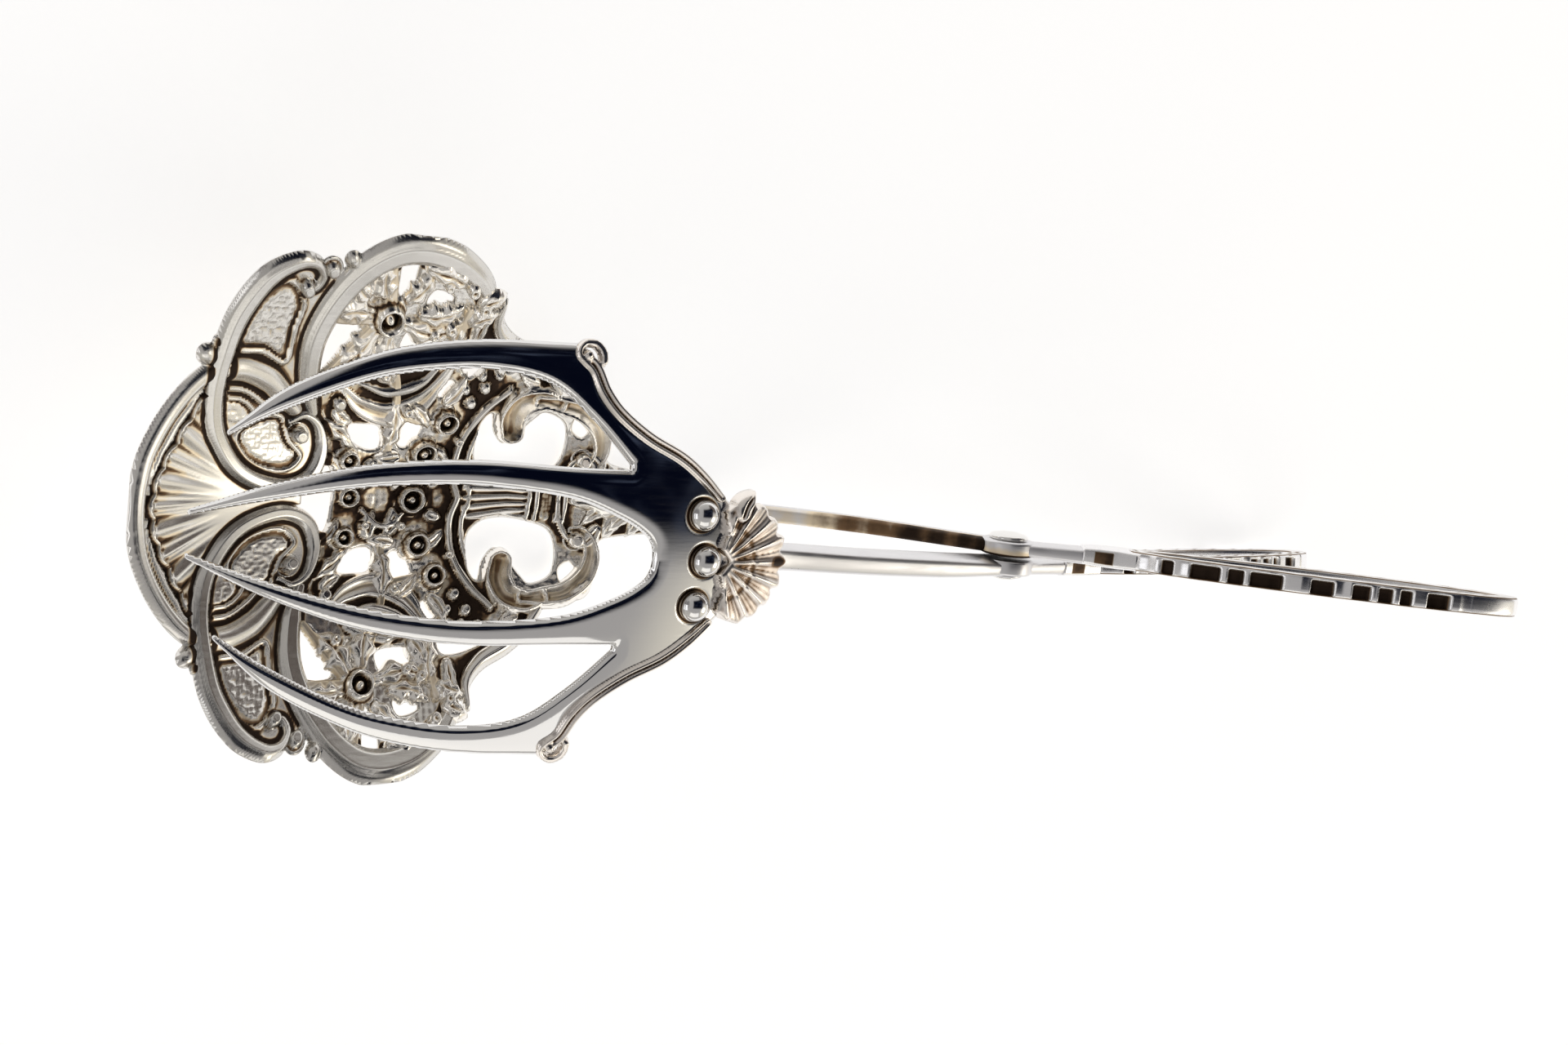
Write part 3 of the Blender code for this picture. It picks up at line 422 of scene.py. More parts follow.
# ------------------------------------------------------------------ bowl: fan lip
cv = BowlCanvas(bowl_surface, (-107.5, -84, -19, 19), STEP)
half = [(-106.3, 0.0), (-106.1, 3.0), (-105.4, 6.4), (-103.5, 10.6), (-100.9, 14.2), (-97.6, 17.0)]
fan = outline(flip(half[::-1], -1) + half[1:], [(-97.6, 17.0), (-96.2, 12.0), (-96.6, 7.0), (-93.6, 3.2), (-89.4, 1.3), (-86.0, 0.8)], [(-86.0, 0.8), (-86.0, -0.8)],
              [(-86.0, -0.8), (-89.4, -1.3), (-93.6, -3.2), (-96.6, -7.0), (-96.2, -12.0), (-97.6, -17.0)])
def fan_relief(X, Y, s):
    r = np.hypot(X + 91.0, Y * 0.92); a = np.arctan2(Y, -(X + 91.0)); k = a * 27.0
    edge = np.interp(np.abs(a), [0, 0.3, 0.6, 0.85, 1.05, 1.2, 1.3], [15.3, 15.1, 14.9, 15.6, 16.8, 18.2, 19.0])
    u = r / edge; am = sstep(u, 0.30, 0.80)
    flute = am * 0.34 * (np.abs(np.cos(k / 2)) ** 0.8 - 0.55)
    flute += am * 0.10 * np.cos(k * 2.0 + 1.1 * np.sin(k * 0.5))
    sc = 0.815 + 0.030 * np.abs(np.cos(k / 2))                                # scalloped end of the flutes
    inner = np.where(u < sc, flute, 0.0)
    bead = 0.45 * np.exp(-((u - sc - 0.012) / 0.014) ** 2) - 0.30 * np.exp(-((u - sc - 0.040) / 0.012) ** 2)
    rim = 0.62 * dome(np.clip(s, 0, 9), 0.9) * (u > 0.89) - 0.30 * np.exp(-((s - 1.55) / 0.16) ** 2) * (u > 0.8)
    return inner + bead * (u > 0.7) + rim
cv.poly(fan, h=0.15, edge=0.3, base=0.30, fn=fan_relief)
_r = np.hypot(cv.X + 91.0, cv.Y * 0.92); _a = np.arctan2(cv.Y, -(cv.X + 91.0)); _k = _a * 27.0
_u = _r / np.interp(np.abs(_a), [0, 0.3, 0.6, 0.85, 1.05, 1.2, 1.3], [15.3, 15.1, 14.9, 15.6, 16.8, 18.2, 19.0])
_c = np.abs(np.cos(_k / 2)); _sc = 0.815 + 0.030 * _c
cv.ox = np.maximum(cv.ox, 0.72 * sstep(_u, 0.50, 0.80) * (1 - _c) ** 1.3 * (_u < _sc + 0.01)); cv.ox = np.maximum(cv.ox, 0.85 * np.exp(-((_u - _sc - 0.036) / 0.016) ** 2))
for sg in (1, -1):      # small leaf tips outside the crossing of fan and cartouche
    cv.disc(-98.9, 16.9 * sg, 1.25, 0.8, base=0.25, edge=0.9); cv.disc(-97.6, 18.3 * sg, 0.95, 0.7, base=0.2, edge=0.9)
# painted shade on the fan beside the scroll bands
for sg in (1, -1): cv.paint_band_shade(run(flip(C_BAND, sg)), C_WIDE, 0.9, 0.30)
cv.mesh("bowl_fan", MAT_PANEL, BOWL, ["bowl_fan_lip"], mid=MID, under=UND, cav=3.8)

# ------------------------------------------------------------------ bowl: arches
for word, sg in (("left", 1), ("right", -1)):
    cv = BowlCanvas(bowl_surface, (-90.5, -63, *((8, 32.1) if sg > 0 else (-32.1, -8))), 0.15)
    cv.band(run(flip(ARCH, sg)), ARCH_WIDE, h=1.25, base=0.10, flat=0.36, lines=0.13)
    cv.eye(-86.5, 27.0 * sg, 1.35, 1.0); cv.disc(-84.3, 28.2 * sg, 1.0, 0.9, edge=0.9)      # small scrolls outside the crossing
    cv.mesh("bowl_arch_band_" + word, MAT_BAND, BOWL, ["bowl_arch_" + word], mid=MID, under=UND, cav=3.6)

# ------------------------------------------------------------------ bowl: pierced body
cv = BowlCanvas(bowl_surface, (-87, -29.5, -31.0, 31.0), STEP)
edge = [(-84.2, 0.0), (-83.6, 3.0), (-83.4, 7.0), (-84.6, 10.0), (-86.3, 12.6), (-86.9, 18.0), (-85.5, 23.0), (-82.8, 27.0), (-79.6, 29.2), (-75.0, 29.6), (-70.5, 28.0),
        (-67.0, 25.2), (-65.2, 23.4), (-63.6, 20.4), (-60.2, 18.6), (-57.4, 16.8), (-54.8, 14.4), (-51.2, 13.2), (-48.2, 11.2), (-47.0, 7.6), (-46.9, 5.4),
        (-44.4, 4.6), (-40.0, 4.0), (-36.0, 3.4), (-31.6, 3.0), (-30.6, 0.0)]
body = np.vstack([run(edge, 4), run(flip(edge[::-1], -1), 4)[1:-1]])
cv.poly(body, h=0.14, edge=0.3, base=0.18, fn=lambda X, Y, s: 0.05 * pebble(X, Y, s, 1.0, 0.8))
for sg in (1, -1):
    B = lambda pts, w, **k: cv.band(run(flip(pts, sg)), w, **k)
    L = lambda x0, y0, x1, y1, wd, bend=0.0, **k: cv.leaf(x0, y0 * sg, x1, y1 * sg, wd, bend=bend * sg, **k)
    # crescent C-scrolls
    B([(-82.4, 13.4), (-80.2, 11.6), (-76.6, 10.7), (-72.8, 12.2), (-70.2, 15.2), (-69.0, 17.6)], [1.0, 2.7, 3.5, 3.2, 1.8, 0.7], h=1.25, base=0.25, flat=0.3, dish=0.55)
    B([(-80.4, 14.3), (-77.0, 13.5), (-73.2, 14.7), (-71.2, 16.6)], [0.7, 1.6, 1.6, 0.6], h=1.0, base=0.3, flat=0.1)
    cv.eye(-82.9, 11.8 * sg, 1.35, 1.3)
    L(-80.6, 15.2, -72.0, 16.6, 2.6, 0.9, h=1.1, lobes=0.5, base=0.2)
    # leaves beside the J of the scroll
    L(-84.6, 9.6, -79.6, 5.4, 2.7, 0.5, h=1.0, lobes=0.4, base=0.2); L(-84.0, 5.6, -81.4, 2.4, 2.0, 0.3, h=0.9, base=0.2); L(-83.6, 11.2, -80.6, 9.4, 2.0, -0.3, h=0.9, base=0.2)
    # scrolled edge beside the arch's end
    B([(-64.9, 25.0), (-65.0, 22.4), (-63.0, 20.2), (-59.8, 18.6), (-57.0, 16.6), (-55.0, 14.2)], [0.9, 1.8, 2.0, 2.0, 1.8, 1.2], h=1.35, base=0.2, flat=0.2)
    L(-67.4, 19.6, -66.0, 24.6, 2.2, 0.3, h=0.9, base=0.2)
    # shell frame on the near side of the large opening
    B([(-66.4, 0.0), (-67.2, 3.0), (-66.6, 7.4), (-64.4, 11.2), (-61.4, 14.2)], [1.3, 1.3, 1.3, 1.3, 1.0], h=1.15, base=0.25, flat=0.2, taper=False)
    B([(-64.9, 0.6), (-65.6, 3.2), (-65.0, 7.0), (-63.0, 10.4)], [0.7, 0.8, 0.8, 0.5], h=0.8, base=0.3)
    # berries and small leaves along the shell
    for bx, by, br in ((-64.7, 14.4, 0.95), (-66.2, 12.4, 0.95), (-67.2, 14.2, 0.8), (-65.4, 16.0, 0.8), (-63.2, 16.2, 0.8)):
        cv.disc(bx, by * sg, br, 1.35, base=0.1)
    L(-70.6, 6.6, -67.6, 3.6, 2.0, 0.3, h=0.9, base=0.2); L(-75.4, 4.6, -74.6, 0.8, 2.6, 0.5, h=1.0, base=0.2); L(-77.6, 5.2, -76.8, 1.4, 2.6, -0.5, h=1.0, base=0.2)
    B([(-78.6, 1.4), (-76.8, 3.2), (-74.8, 3.2), (-73.4, 1.8)], [0.7, 1.0, 1.0, 0.7], h=1.2, base=0.1)
    L(-70.4, 1.6, -68.0, 2.6, 1.6, 0.2, h=0.9, base=0.2)
    # root: S-scroll foot, bars and side leaves
    L(-47.2, 3.0, -50.4, 6.6, 2.4, -0.4, h=1.0, base=0.2); L(-44.0, 1.2, -46.9, 5.2, 2.6, 0.4, h=1.1, base=0.25); L(-41.0, 1.2, -43.4, 4.6, 2.2, 0.3, h=1.0, base=0.25)
    L(-38.0, 1.0, -40.2, 3.9, 2.0, 0.3, h=1.0, base=0.25); L(-35.0, 0.8, -37.0, 3.4, 1.8, 0.3, h=0.9, base=0.2)
    B([(-53.2, 0.4), (-53.0, 2.4), (-52.0, 4.4), (-50.8, 5.6)], [0.9, 1.0, 1.0, 0.7], h=1.2, base=0.1)
cv.poly(closed([(-65.6, 2.6), (-65.6, -2.6), (-60.8, -2.6), (-56.8, -2.7), (-56.8, 2.7), (-60.8, 2.6)]), h=0.3, edge=0.4, base=0.5,
        fn=lambda X, Y, s: 0.13 * np.cos(2 * np.pi * Y * (1.0 + 0.05 * (X + 60)) / 0.95) * sstep(s, 0.1, 0.5))
for x in (-57.3, -56.2, -53.4, -52.4):
    cv.band(run([(x, -2.9), (x + 0.25, 0), (x, 2.9)]), [0.7, 0.8, 0.7], h=1.0, base=0.15, taper=False)
cv.poly(closed([(-55.6, 2.4), (-55.6, -2.4), (-53.9, -2.4), (-53.9, 2.4)]), h=0.2, edge=0.3, base=0.25, fn=pebble)
cv.flower(-72.3, 0.0, 2.5, 5, 0.3, h=1.9); cv.flower(-80.6, 0.2, 1.9, 4, 0.1, h=1.7)
for sg in (1, -1):
    for hole in ([(-86.2, 15.6), (-84.6, 15.4), (-82.9, 18.2), (-81.9, 20.7), (-84.2, 21.0), (-86.2, 19.8)],
                 [(-85.3, 22.5), (-83.4, 23.0), (-81.5, 24.8), (-82.6, 26.4), (-84.4, 25.2)],
                 [(-77.9, 24.8), (-76.4, 24.1), (-76.5, 27.0), (-76.7, 28.9), (-78.3, 28.8), (-78.2, 26.6)],
                 [(-76.2, 18.6), (-73.5, 18.0), (-70.2, 18.6), (-70.6, 20.7), (-73.3, 21.3), (-75.4, 21.0)],
                 [(-81.0, 8.9), (-80.6, 7.3), (-78.8, 6.2), (-77.0, 6.4), (-77.2, 8.8), (-79.2, 9.1)],
                 [(-75.2, 8.5), (-74.2, 6.6), (-72.7, 7.2), (-71.8, 9.2), (-73.2, 9.9), (-74.6, 9.3)],
                 [(-80.6, 17.3), (-77.9, 17.0), (-78.1, 18.8), (-80.0, 19.3)],
                 [(-74.2, 23.9), (-72.3, 23.4), (-71.3, 24.9), (-73.6, 25.5)],
                 [(-68.2, 17.2), (-66.8, 15.4), (-64.9, 17.0), (-62.0, 16.2), (-61.2, 17.3), (-64.6, 18.8), (-67.6, 19.0)],
                 [(-64.6, 5.4), (-63.4, 3.6), (-61.2, 2.9), (-57.4, 3.2), (-54.2, 4.2), (-53.0, 6.8), (-53.4, 9.8), (-56.0, 11.0), (-57.4, 10.0), (-60.6, 6.8), (-62.4, 8.2), (-63.0, 10.6), (-64.2, 9.0)],
                 [(-70.4, 13.2), (-68.8, 12.6), (-68.0, 14.0), (-69.2, 14.9)],
                 [(-50.8, 8.2), (-49.9, 9.6), (-51.6, 10.9), (-52.2, 9.2)]):
        cut(cv, closed(flip(hole, sg)))
cut(cv, closed([(-84.8, -2.0), (-84.2, 0.0), (-84.8, 2.0), (-83.2, 4.0), (-82.4, 1.8), (-82.5, -1.8), (-83.2, -4.0)]))
# painted shade on the body beside the arch and scroll bands
for sg in (1, -1): cv.paint_band_shade(run(flip(ARCH, sg)), ARCH_WIDE, 0.95, 0.40); cv.paint_band_shade(run(flip(C_BAND, sg)), C_WIDE, 0.9, 0.34)
cv.mesh("bowl_pierced_body", MAT_BOWL, BOWL, ["bowl_body"], mid=MID, under=UND, cav=3.6, cav0=0.08)

# ------------------------------------------------------------------ bowl: flower sprays, volutes, root leaf
for word, sg in (("left", 1), ("right", -1)):
    cv = BowlCanvas(bowl_surface, (-87, -63, *((1.5, 30.5) if sg > 0 else (-30.5, -1.5))), 0.15)
    B = lambda pts, w, **k: cv.band(run(flip(pts, sg)), w, **k)
    L = lambda x0, y0, x1, y1, wd, bend=0.0, **k: cv.leaf(x0, y0 * sg, x1, y1 * sg, wd, bend=bend * sg, **k)
    B([(-85.6, 14.8), (-82.6, 18.6), (-80.6, 21.0), (-78.8, 22.4), (-78.9, 25.4), (-79.6, 28.6)], [0.9, 1.2, 1.3, 1.4, 1.2, 0.9], h=0.75, base=0.2, ox=0.34)
    B([(-85.4, 21.6), (-83.0, 22.0), (-80.6, 22.0), (-78.6, 22.0)], [0.8, 1.5, 1.3, 1.0], h=0.75, base=0.2, ox=0.34)
    B([(-78.6, 20.6), (-77.2, 17.4), (-76.0, 14.6), (-75.6, 11.0), (-75.9, 7.0), (-76.0, 4.6)], [1.3, 1.5, 1.2, 1.2, 1.3, 1.0], h=0.8, base=0.2, ox=0.34)
    B([(-76.9, 21.6), (-73.4, 22.2), (-70.0, 22.0), (-67.2, 23.4)], [1.0, 1.5, 1.4, 1.2], h=0.75, base=0.2, ox=0.34)
    B([(-69.6, 17.2), (-69.8, 19.4), (-69.4, 21.6), (-69.0, 24.0)], [1.2, 1.4, 1.4, 1.2], h=0.75, base=0.2, ox=0.34)
    B([(-75.6, 10.8), (-72.2, 10.0), (-70.0, 10.2)], [1.1, 1.1, 1.1], h=0.75, base=0.2, ox=0.34)
    # foliage that covers the stems
    L(-79.8, 21.2, -85.0, 15.8, 3.8, 0.7, h=1.0, lobes=0.55, base=0.25); L(-80.4, 22.8, -85.8, 22.0, 3.4, -0.6, h=1.0, lobes=0.55, base=0.25)
    L(-79.2, 24.0, -80.4, 29.2, 3.6, 0.6, h=1.0, lobes=0.55, base=0.25); L(-78.4, 20.8, -75.8, 13.4, 4.0, -0.9, h=1.0, lobes=0.6, base=0.25)
    L(-77.0, 21.8, -69.4, 22.0, 3.6, -0.8, h=1.0, lobes=0.6, base=0.25); L(-77.4, 24.2, -74.4, 28.4, 2.8, -0.5, h=1.0, lobes=0.5, base=0.25)
    L(-75.9, 12.6, -76.6, 5.6, 3.4, 0.7, h=1.0, lobes=0.55, base=0.25); L(-69.6, 17.0, -69.4, 23.4, 3.4, 0.5, h=1.0, lobes=0.55, base=0.25)
    L(-81.6, 24.4, -83.6, 26.4, 2.4, 0.3, h=0.9, base=0.25); L(-82.4, 18.6, -80.4, 16.2, 2.2, 0.3, h=0.9, base=0.25)
    L(-76.0, 28.6, -69.2, 26.4, 3.0, 0.6, h=1.25, base=0.3, lobes=0.5); L(-75.4, 23.0, -69.6, 24.4, 2.6, -0.4, h=1.2, base=0.3, lobes=0.5); 
    L(-69.0, 22.6, -65.2, 24.0, 2.6, 0.3, h=1.3, base=0.4, lobes=0.4); L(-68.4, 24.6, -65.0, 26.0, 2.0, 0.3, h=1.1, base=0.4)
    L(-72.4, 17.2, -70.0, 21.0, 2.6, -0.3, h=1.1, base=0.35)
    L(-74.2, 5.6, -77.8, 5.2, 2.0, 0.2, h=1.0, base=0.3); L(-69.8, 12.0, -67.2, 16.0, 2.0, -0.4, h=1.0, base=0.3); L(-73.6, 12.2, -71.0, 9.0, 2.0, 0.3, h=1.0, base=0.3)
    cv.flower(-78.8, 22.5 * sg, 2.5, 5, 0.5 * sg, h=1.9); cv.flower(-68.9, 10.0 * sg, 2.15, 5, 1.1, h=1.85)
    cv.flower(-71.3, 5.9 * sg, 2.4, 5, 0.2, h=1.9); cv.flower(-81.0, 4.9 * sg, 1.8, 4, 0.7, h=1.7)
    for bx, by, br in ((-69.4, 26.6, 1.0), (-67.4, 24.6, 1.0), (-70.9, 21.9, 0.9), (-72.8, 21.0, 0.8), (-81.8, 17.2, 0.9), (-77.9, 15.9, 0.9), (-74.2, 11.4, 0.9), (-67.0, 7.4, 0.85), (-73.6, 3.4, 0.8), (-78.4, 3.4, 0.8), (-72.6, 26.9, 0.8)):
        cv.disc(bx, by * sg, br, 1.7, fn=lambda u, v: -0.4 * np.exp(-(np.hypot(u, v) / 0.3) ** 2))
    cv.mesh("bowl_flower_spray_" + word, MAT_SPRAY, BOWL, ["bowl_spray_" + word], mid=-0.35, under=0.55, cav=2.2, cav0=0.14)
    cv = BowlCanvas(bowl_surface, (-66, -45, *((1, 20) if sg > 0 else (-20, -1))), STEP)
    B([(-60.3, 8.6), (-60.5, 10.8), (-59.4, 12.8), (-57.0, 13.5), (-54.8, 12.9)], [3.7, 4.2, 4.0, 3.4, 2.4], h=2.0, base=0.35, flat=0.6, dish=1.0)
    B([(-57.2, 13.0), (-54.4, 12.8), (-51.4, 12.1), (-48.9, 9.9), (-48.1, 6.8), (-49.3, 4.2), (-51.2, 3.9)], [1.8, 2.8, 3.2, 3.2, 2.8, 2.0, 1.0], h=1.9, base=0.3, flat=0.5, dish=0.8)
    cv.eye(-50.4, 5.2 * sg, 1.7, 2.3)
    L(-50.8, 12.6, -47.6, 9.6, 1.8, 0.5, h=1.2, base=0.3)
    L(-57.6, 15.2, -60.8, 16.6, 1.8, 0.3, h=1.1, base=0.2)
    cv.mesh("bowl_s_volute_" + word, MAT_SPRAY, BOWL, ["bowl_volute_" + word], mid=-0.35, under=0.55, cav=1.3, cav0=0.04)

cv = BowlCanvas(bowl_surface, (-54, -33, -6.5, 6.5), STEP)
cv.leaf(-52.0, 0, -36.4, 0, 4.6, h=1.5, veins=7, lobes=0.45, base=0.4)
for sg in (1, -1):
    cv.leaf(-46.2, 0.6 * sg, -50.0, 3.4 * sg, 2.2, h=1.3, bend=0.5 * sg, base=0.3); cv.leaf(-42.6, 0.8 * sg, -46.4, 4.2 * sg, 2.4, h=1.3, bend=0.5 * sg, base=0.3)
    cv.leaf(-39.4, 0.8 * sg, -42.6, 3.9 * sg, 2.0, h=1.2, bend=0.4 * sg, base=0.3)
cv.mesh("bowl_acanthus", MAT_SPRAY, BOWL, ["bowl_root_leaf"], mid=-0.3, under=0.6, cav=2.0, cav0=0.05)

# ------------------------------------------------------------------ claw: fork
PALM = [(-42.5, 5.4), (-45.0, 7.8), (-48.7, 11.2), (-55.2, 14.2), (-59.6, 17.2), (-61.0, 21.4), (-62.8, 22.7)]
OUT_A = [(-62.8, 22.7), (-72.6, 22.3), (-79.6, 21.2), (-85.2, 19.4), (-92.7, 15.6), (-98.2, 10.7)]
IN_A = [(-98.2, 10.1), (-92.7, 13.3), (-85.2, 16.8), (-79.4, 18.4), (-72.5, 19.2), (-66.0, 18.3), (-61.0, 14.8), (-56.4, 10.3)]
OUT_B = [(-56.4, 9.7), (-63.0, 9.7), (-72.0, 9.9), (-79.0, 9.4), (-86.0, 8.2), (-94.0, 5.7), (-101.4, 2.5)]
IN_B = [(-101.4, 1.9), (-94.5, 3.9), (-86.0, 5.9), (-79.0, 6.9), (-72.0, 7.2), (-62.9, 6.4), (-57.0, 4.4), (-54.1, 2.8), (-53.0, 1.5), (-52.7, 0.0)]
half = [PALM, OUT_A, [OUT_A[-1], IN_A[0]], IN_A, [IN_A[-1], OUT_B[0]], OUT_B, [OUT_B[-1], IN_B[0]], IN_B]
fork = outline([(-42.5, -5.4), (-42.5, 5.4)], *half, *[flip(p, -1)[::-1] for p in half[::-1]])
BEADS = [(-47.4, 5.1), (-46.6, 0.0), (-47.4, -5.1)]
def fork_relief(X, Y, s):
    u = np.clip(s / 0.55, 0, 1); v = np.clip(s / 1.7, 0, 1); h = 0.22 + 0.40 * u * (2 - u) + 0.24 * v * (2 - v)
    for bx, by in BEADS:                                                       # sockets round the three balls
        q = np.hypot(X - bx, Y - by); h = h - 0.20 * np.exp(-((q - 1.80) / 0.16) ** 2)
    return h
cv = Canvas(claw_z, (-102.4, -41.5, -23.6, 23.6), 0.2)
cv.poly(fork, h=0.0, edge=0.4, base=0.0, fn=fork_relief)
# painted shade: a dark ring on the palm round the foot of each ball
for bx, by in BEADS:
    q = np.hypot(cv.X - bx, cv.Y - by); cv.ox = np.maximum(cv.ox, 1.1 * np.exp(-((q - 1.84) / 0.30) ** 2))
cv.mesh("claw_fork_crowned", MAT_CLAW, CLAW, ["claw_fork"], mid=0.0, under=0.85, under_w=0.7, cav=0.9)

# ------------------------------------------------------------------ claw: border mouldings, balls, cuff
BORDER = [(-62.3, 20.9), (-61.2, 19.9), (-60.0, 17.6), (-58.0, 15.4), (-54.6, 13.1), (-50.6, 11.2), (-47.8, 9.2), (-45.4, 7.0)]
for word, sg in (("left", 1), ("right", -1)):
    cv = Canvas(claw_z, (-66, -42, *((3, 23.4) if sg > 0 else (-23.4, -3))), 0.16)
    p = run(flip(BORDER, sg)); cv.band(p, [1.7, 1.7, 1.6, 1.6, 1.6, 1.6, 1.5, 1.2], h=0.75, base=0.05, groove=0.42, taper=False)
    cv.band(spiral(-62.2, 21.3 * sg, 1.55, -0.3 * sg, 1.15, sg), [1.1, 1.0, 0.8, 0.5], h=0.9, base=0.1)
    cv.disc(-62.25, 21.3 * sg, 0.62, 1.1)
    cv.mesh("claw_moulding_" + word, MAT_CUFF, CLAW, ["claw_border_" + word], mid=0.62, under=0.3, under_w=0.3, cav=3.0, cav0=0.05)

def turned(name, prof, centre, axis, mat, body, nodes=(), n=72, ox=0.1, squash_z=1.0):
    prof = np.asarray(prof, float); P, F, O = [], [], []
    axis = np.array(axis, float); e1 = np.cross(axis, [0.3, 0.1, 0.9]); e1 /= np.linalg.norm(e1); e2 = np.cross(axis, e1)
    rings = []
    for r, h in prof:
        if r < 1e-6: rings.append([len(P)]); P.append(axis * h)
        else:
            rings.append(list(range(len(P), len(P) + n)))
            for k in range(n):
                a = 2 * math.pi * k / n; P.append(axis * h + r * (math.cos(a) * e1 + math.sin(a) * e2))
    for A, Bq in zip(rings[:-1], rings[1:]):
        for k in range(n):
            k2 = (k + 1) % n
            if len(A) == 1: F.append([A[0], Bq[k], Bq[k2]])
            elif len(Bq) == 1: F.append([A[k], Bq[0], A[k2]])
            else: F.append([A[k], Bq[k], Bq[k2], A[k2]])
    P = np.array(P) + np.array(centre, float)
    ob = make(name, P, F, mat, body, np.full(len(P), ox) if np.isscalar(ox) else ox)
    bm = bmesh.new(); bm.from_mesh(ob.data); bmesh.ops.recalc_face_normals(bm, faces=bm.faces); bm.to_mesh(ob.data); bm.free()
    for q in nodes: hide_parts(q)
    return ob

# each ball's lower half, towards the palm, is coloured dark as painted shade
for (bx, by), word in zip(BEADS, ("left", "middle", "right")):
    nrm = normals(claw_z, np.array([bx]), np.array([by]))[0]; c = np.array([bx, by, float(claw_z(bx, by))]) + nrm * 1.15
    prof = [(1.72 * math.sin(a), 1.45 * math.cos(a)) for a in np.linspace(0, math.pi, 25)]; prof[0] = (0, 1.45); prof[-1] = (0, -1.45)
    turned("claw_ball_" + word, prof, c, nrm, MAT_CLAW, CLAW, ["claw_bead_" + word], n=64, ox=np.clip([0.15 + 0.9 * sstep(k, 10, 13) for k in ([0] + [1 + i for i in range(23) for _ in range(64)] + [24])], 0, 1))

cv = Canvas(claw_z, (-46.5, -34.5, -8.6, 8.6), 0.13)
cpts = []
for k in range(121):
    a = math.radians(-74 + 148 * k / 120); r = 7.0 + 0.75 * abs(math.cos(9.5 * a)) ** 0.7; cpts.append((-43.9 + r * math.cos(a), 0.98 * r * math.sin(a)))
cpts += [(-43.9, 6.6), (-45.0, 5.6), (-44.5, 3.0), (-45.2, 1.4), (-44.0, 0.0), (-45.2, -1.4), (-44.5, -3.0), (-45.0, -5.6), (-43.9, -6.6)]
def cuff_relief(X, Y, s):
    a = np.arctan2(Y, X + 45.2); r = np.hypot(X + 45.2, Y)
    return (0.40 * (np.abs(np.cos(9.5 * a)) ** 0.7 - 0.5) + 0.10 * np.cos(38 * a)) * sstep(r, 1.0, 3.2) - 0.30 * sstep(r, 6.2, 9.0) - 0.08 * np.exp(-((r - 4.3) / 0.28) ** 2)
cv.poly(cpts, h=0.5, edge=0.6, base=0.75, fn=cuff_relief)
cv.leaf(-43.4, 4.4, -41.4, 8.0, 2.3, h=1.2, bend=0.4, base=0.8, veins=3)
# painted shadow: a dark patch at the cuff's end where the bar leaves it, where the cuff's rim shades it
cv.ox = np.maximum(cv.ox, 0.9 * np.exp(-(np.hypot((cv.X + 37.6) / 1.3, cv.Y / 0.8)) ** 2))
cv.mesh("claw_cuff_fluted", MAT_CUFF, CLAW, ["claw_cuff"], mid=0.75, under=0.45, under_w=0.4, cav=3.6, cav0=0.26)

# ------------------------------------------------------------------ bars
def loft(name, path, half_w, half_h, mat, body, nodes=(), n=28, power=0.42, steps=10, oxf=None, bump=None, ref=(0, 1, 0)):
    """Rounded bar along a path: half_w across (near ref), half_h the other way."""
    p = run(path, steps); m = len(p); t = np.gradient(p, axis=0); t /= np.linalg.norm(t, axis=1)[:, None]
    ref = np.array(ref, float); u = ref - t * (t @ ref)[:, None]; u /= np.linalg.norm(u, axis=1)[:, None]; v = np.cross(t, u)
    s = np.linspace(0, 1, m); hw = np.interp(s, np.linspace(0, 1, len(half_w)), half_w); hh = np.interp(s, np.linspace(0, 1, len(half_h)), half_h)
    P, O, F = [], [], []; a = 2 * math.pi * np.arange(n) / n; ca, sa = np.cos(a), np.sin(a)
    cu, cw = np.sign(ca) * np.abs(ca) ** power, np.sign(sa) * np.abs(sa) ** power
    cap = [(-0.28, 0.45), (-0.12, 0.82)]
    rings = []
    def ring(c, uu, vv, w, h, k, i):
        dw = 0.0 if bump is None else bump(s[i], cu, cw)
        rings.append(range(len(P), len(P) + n))
        P.extend(c + uu * (w * k * cu + 0)[:, None] + vv * ((h * k) * cw + dw * np.sign(cw))[:, None] if True else None)
        O.extend(np.full(n, 0.1) if oxf is None else oxf(s[i], cu, cw))
    for off, k in cap: ring(p[0] + t[0] * (off + 0.28) * 1.0, u[0], v[0], hw[0], hh[0], k, 0)
    for i in range(1, m - 1): ring(p[i], u[i], v[i], hw[i], hh[i], 1.0, i)
    for off, k in cap[::-1]: ring(p[-1] - t[-1] * (off + 0.28), u[-1], v[-1], hw[-1], hh[-1], k, m - 1)
    for A, Bq in zip(rings[:-1], rings[1:]):
        F += [[A[k], A[(k + 1) % n], Bq[(k + 1) % n], Bq[k]] for k in range(n)]
    F.append(list(rings[0])[::-1]); F.append(list(rings[-1]))
    ob = make(name, np.array(P), F, mat, body, np.array(O))
    bm = bmesh.new(); bm.from_mesh(ob.data); bmesh.ops.recalc_face_normals(bm, faces=bm.faces); bm.to_mesh(ob.data); bm.free()
    for q in nodes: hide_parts(q)
    return ob

def along(angle, r, y):
    a = math.radians(angle); return (r * math.cos(a), y, r * math.sin(a))

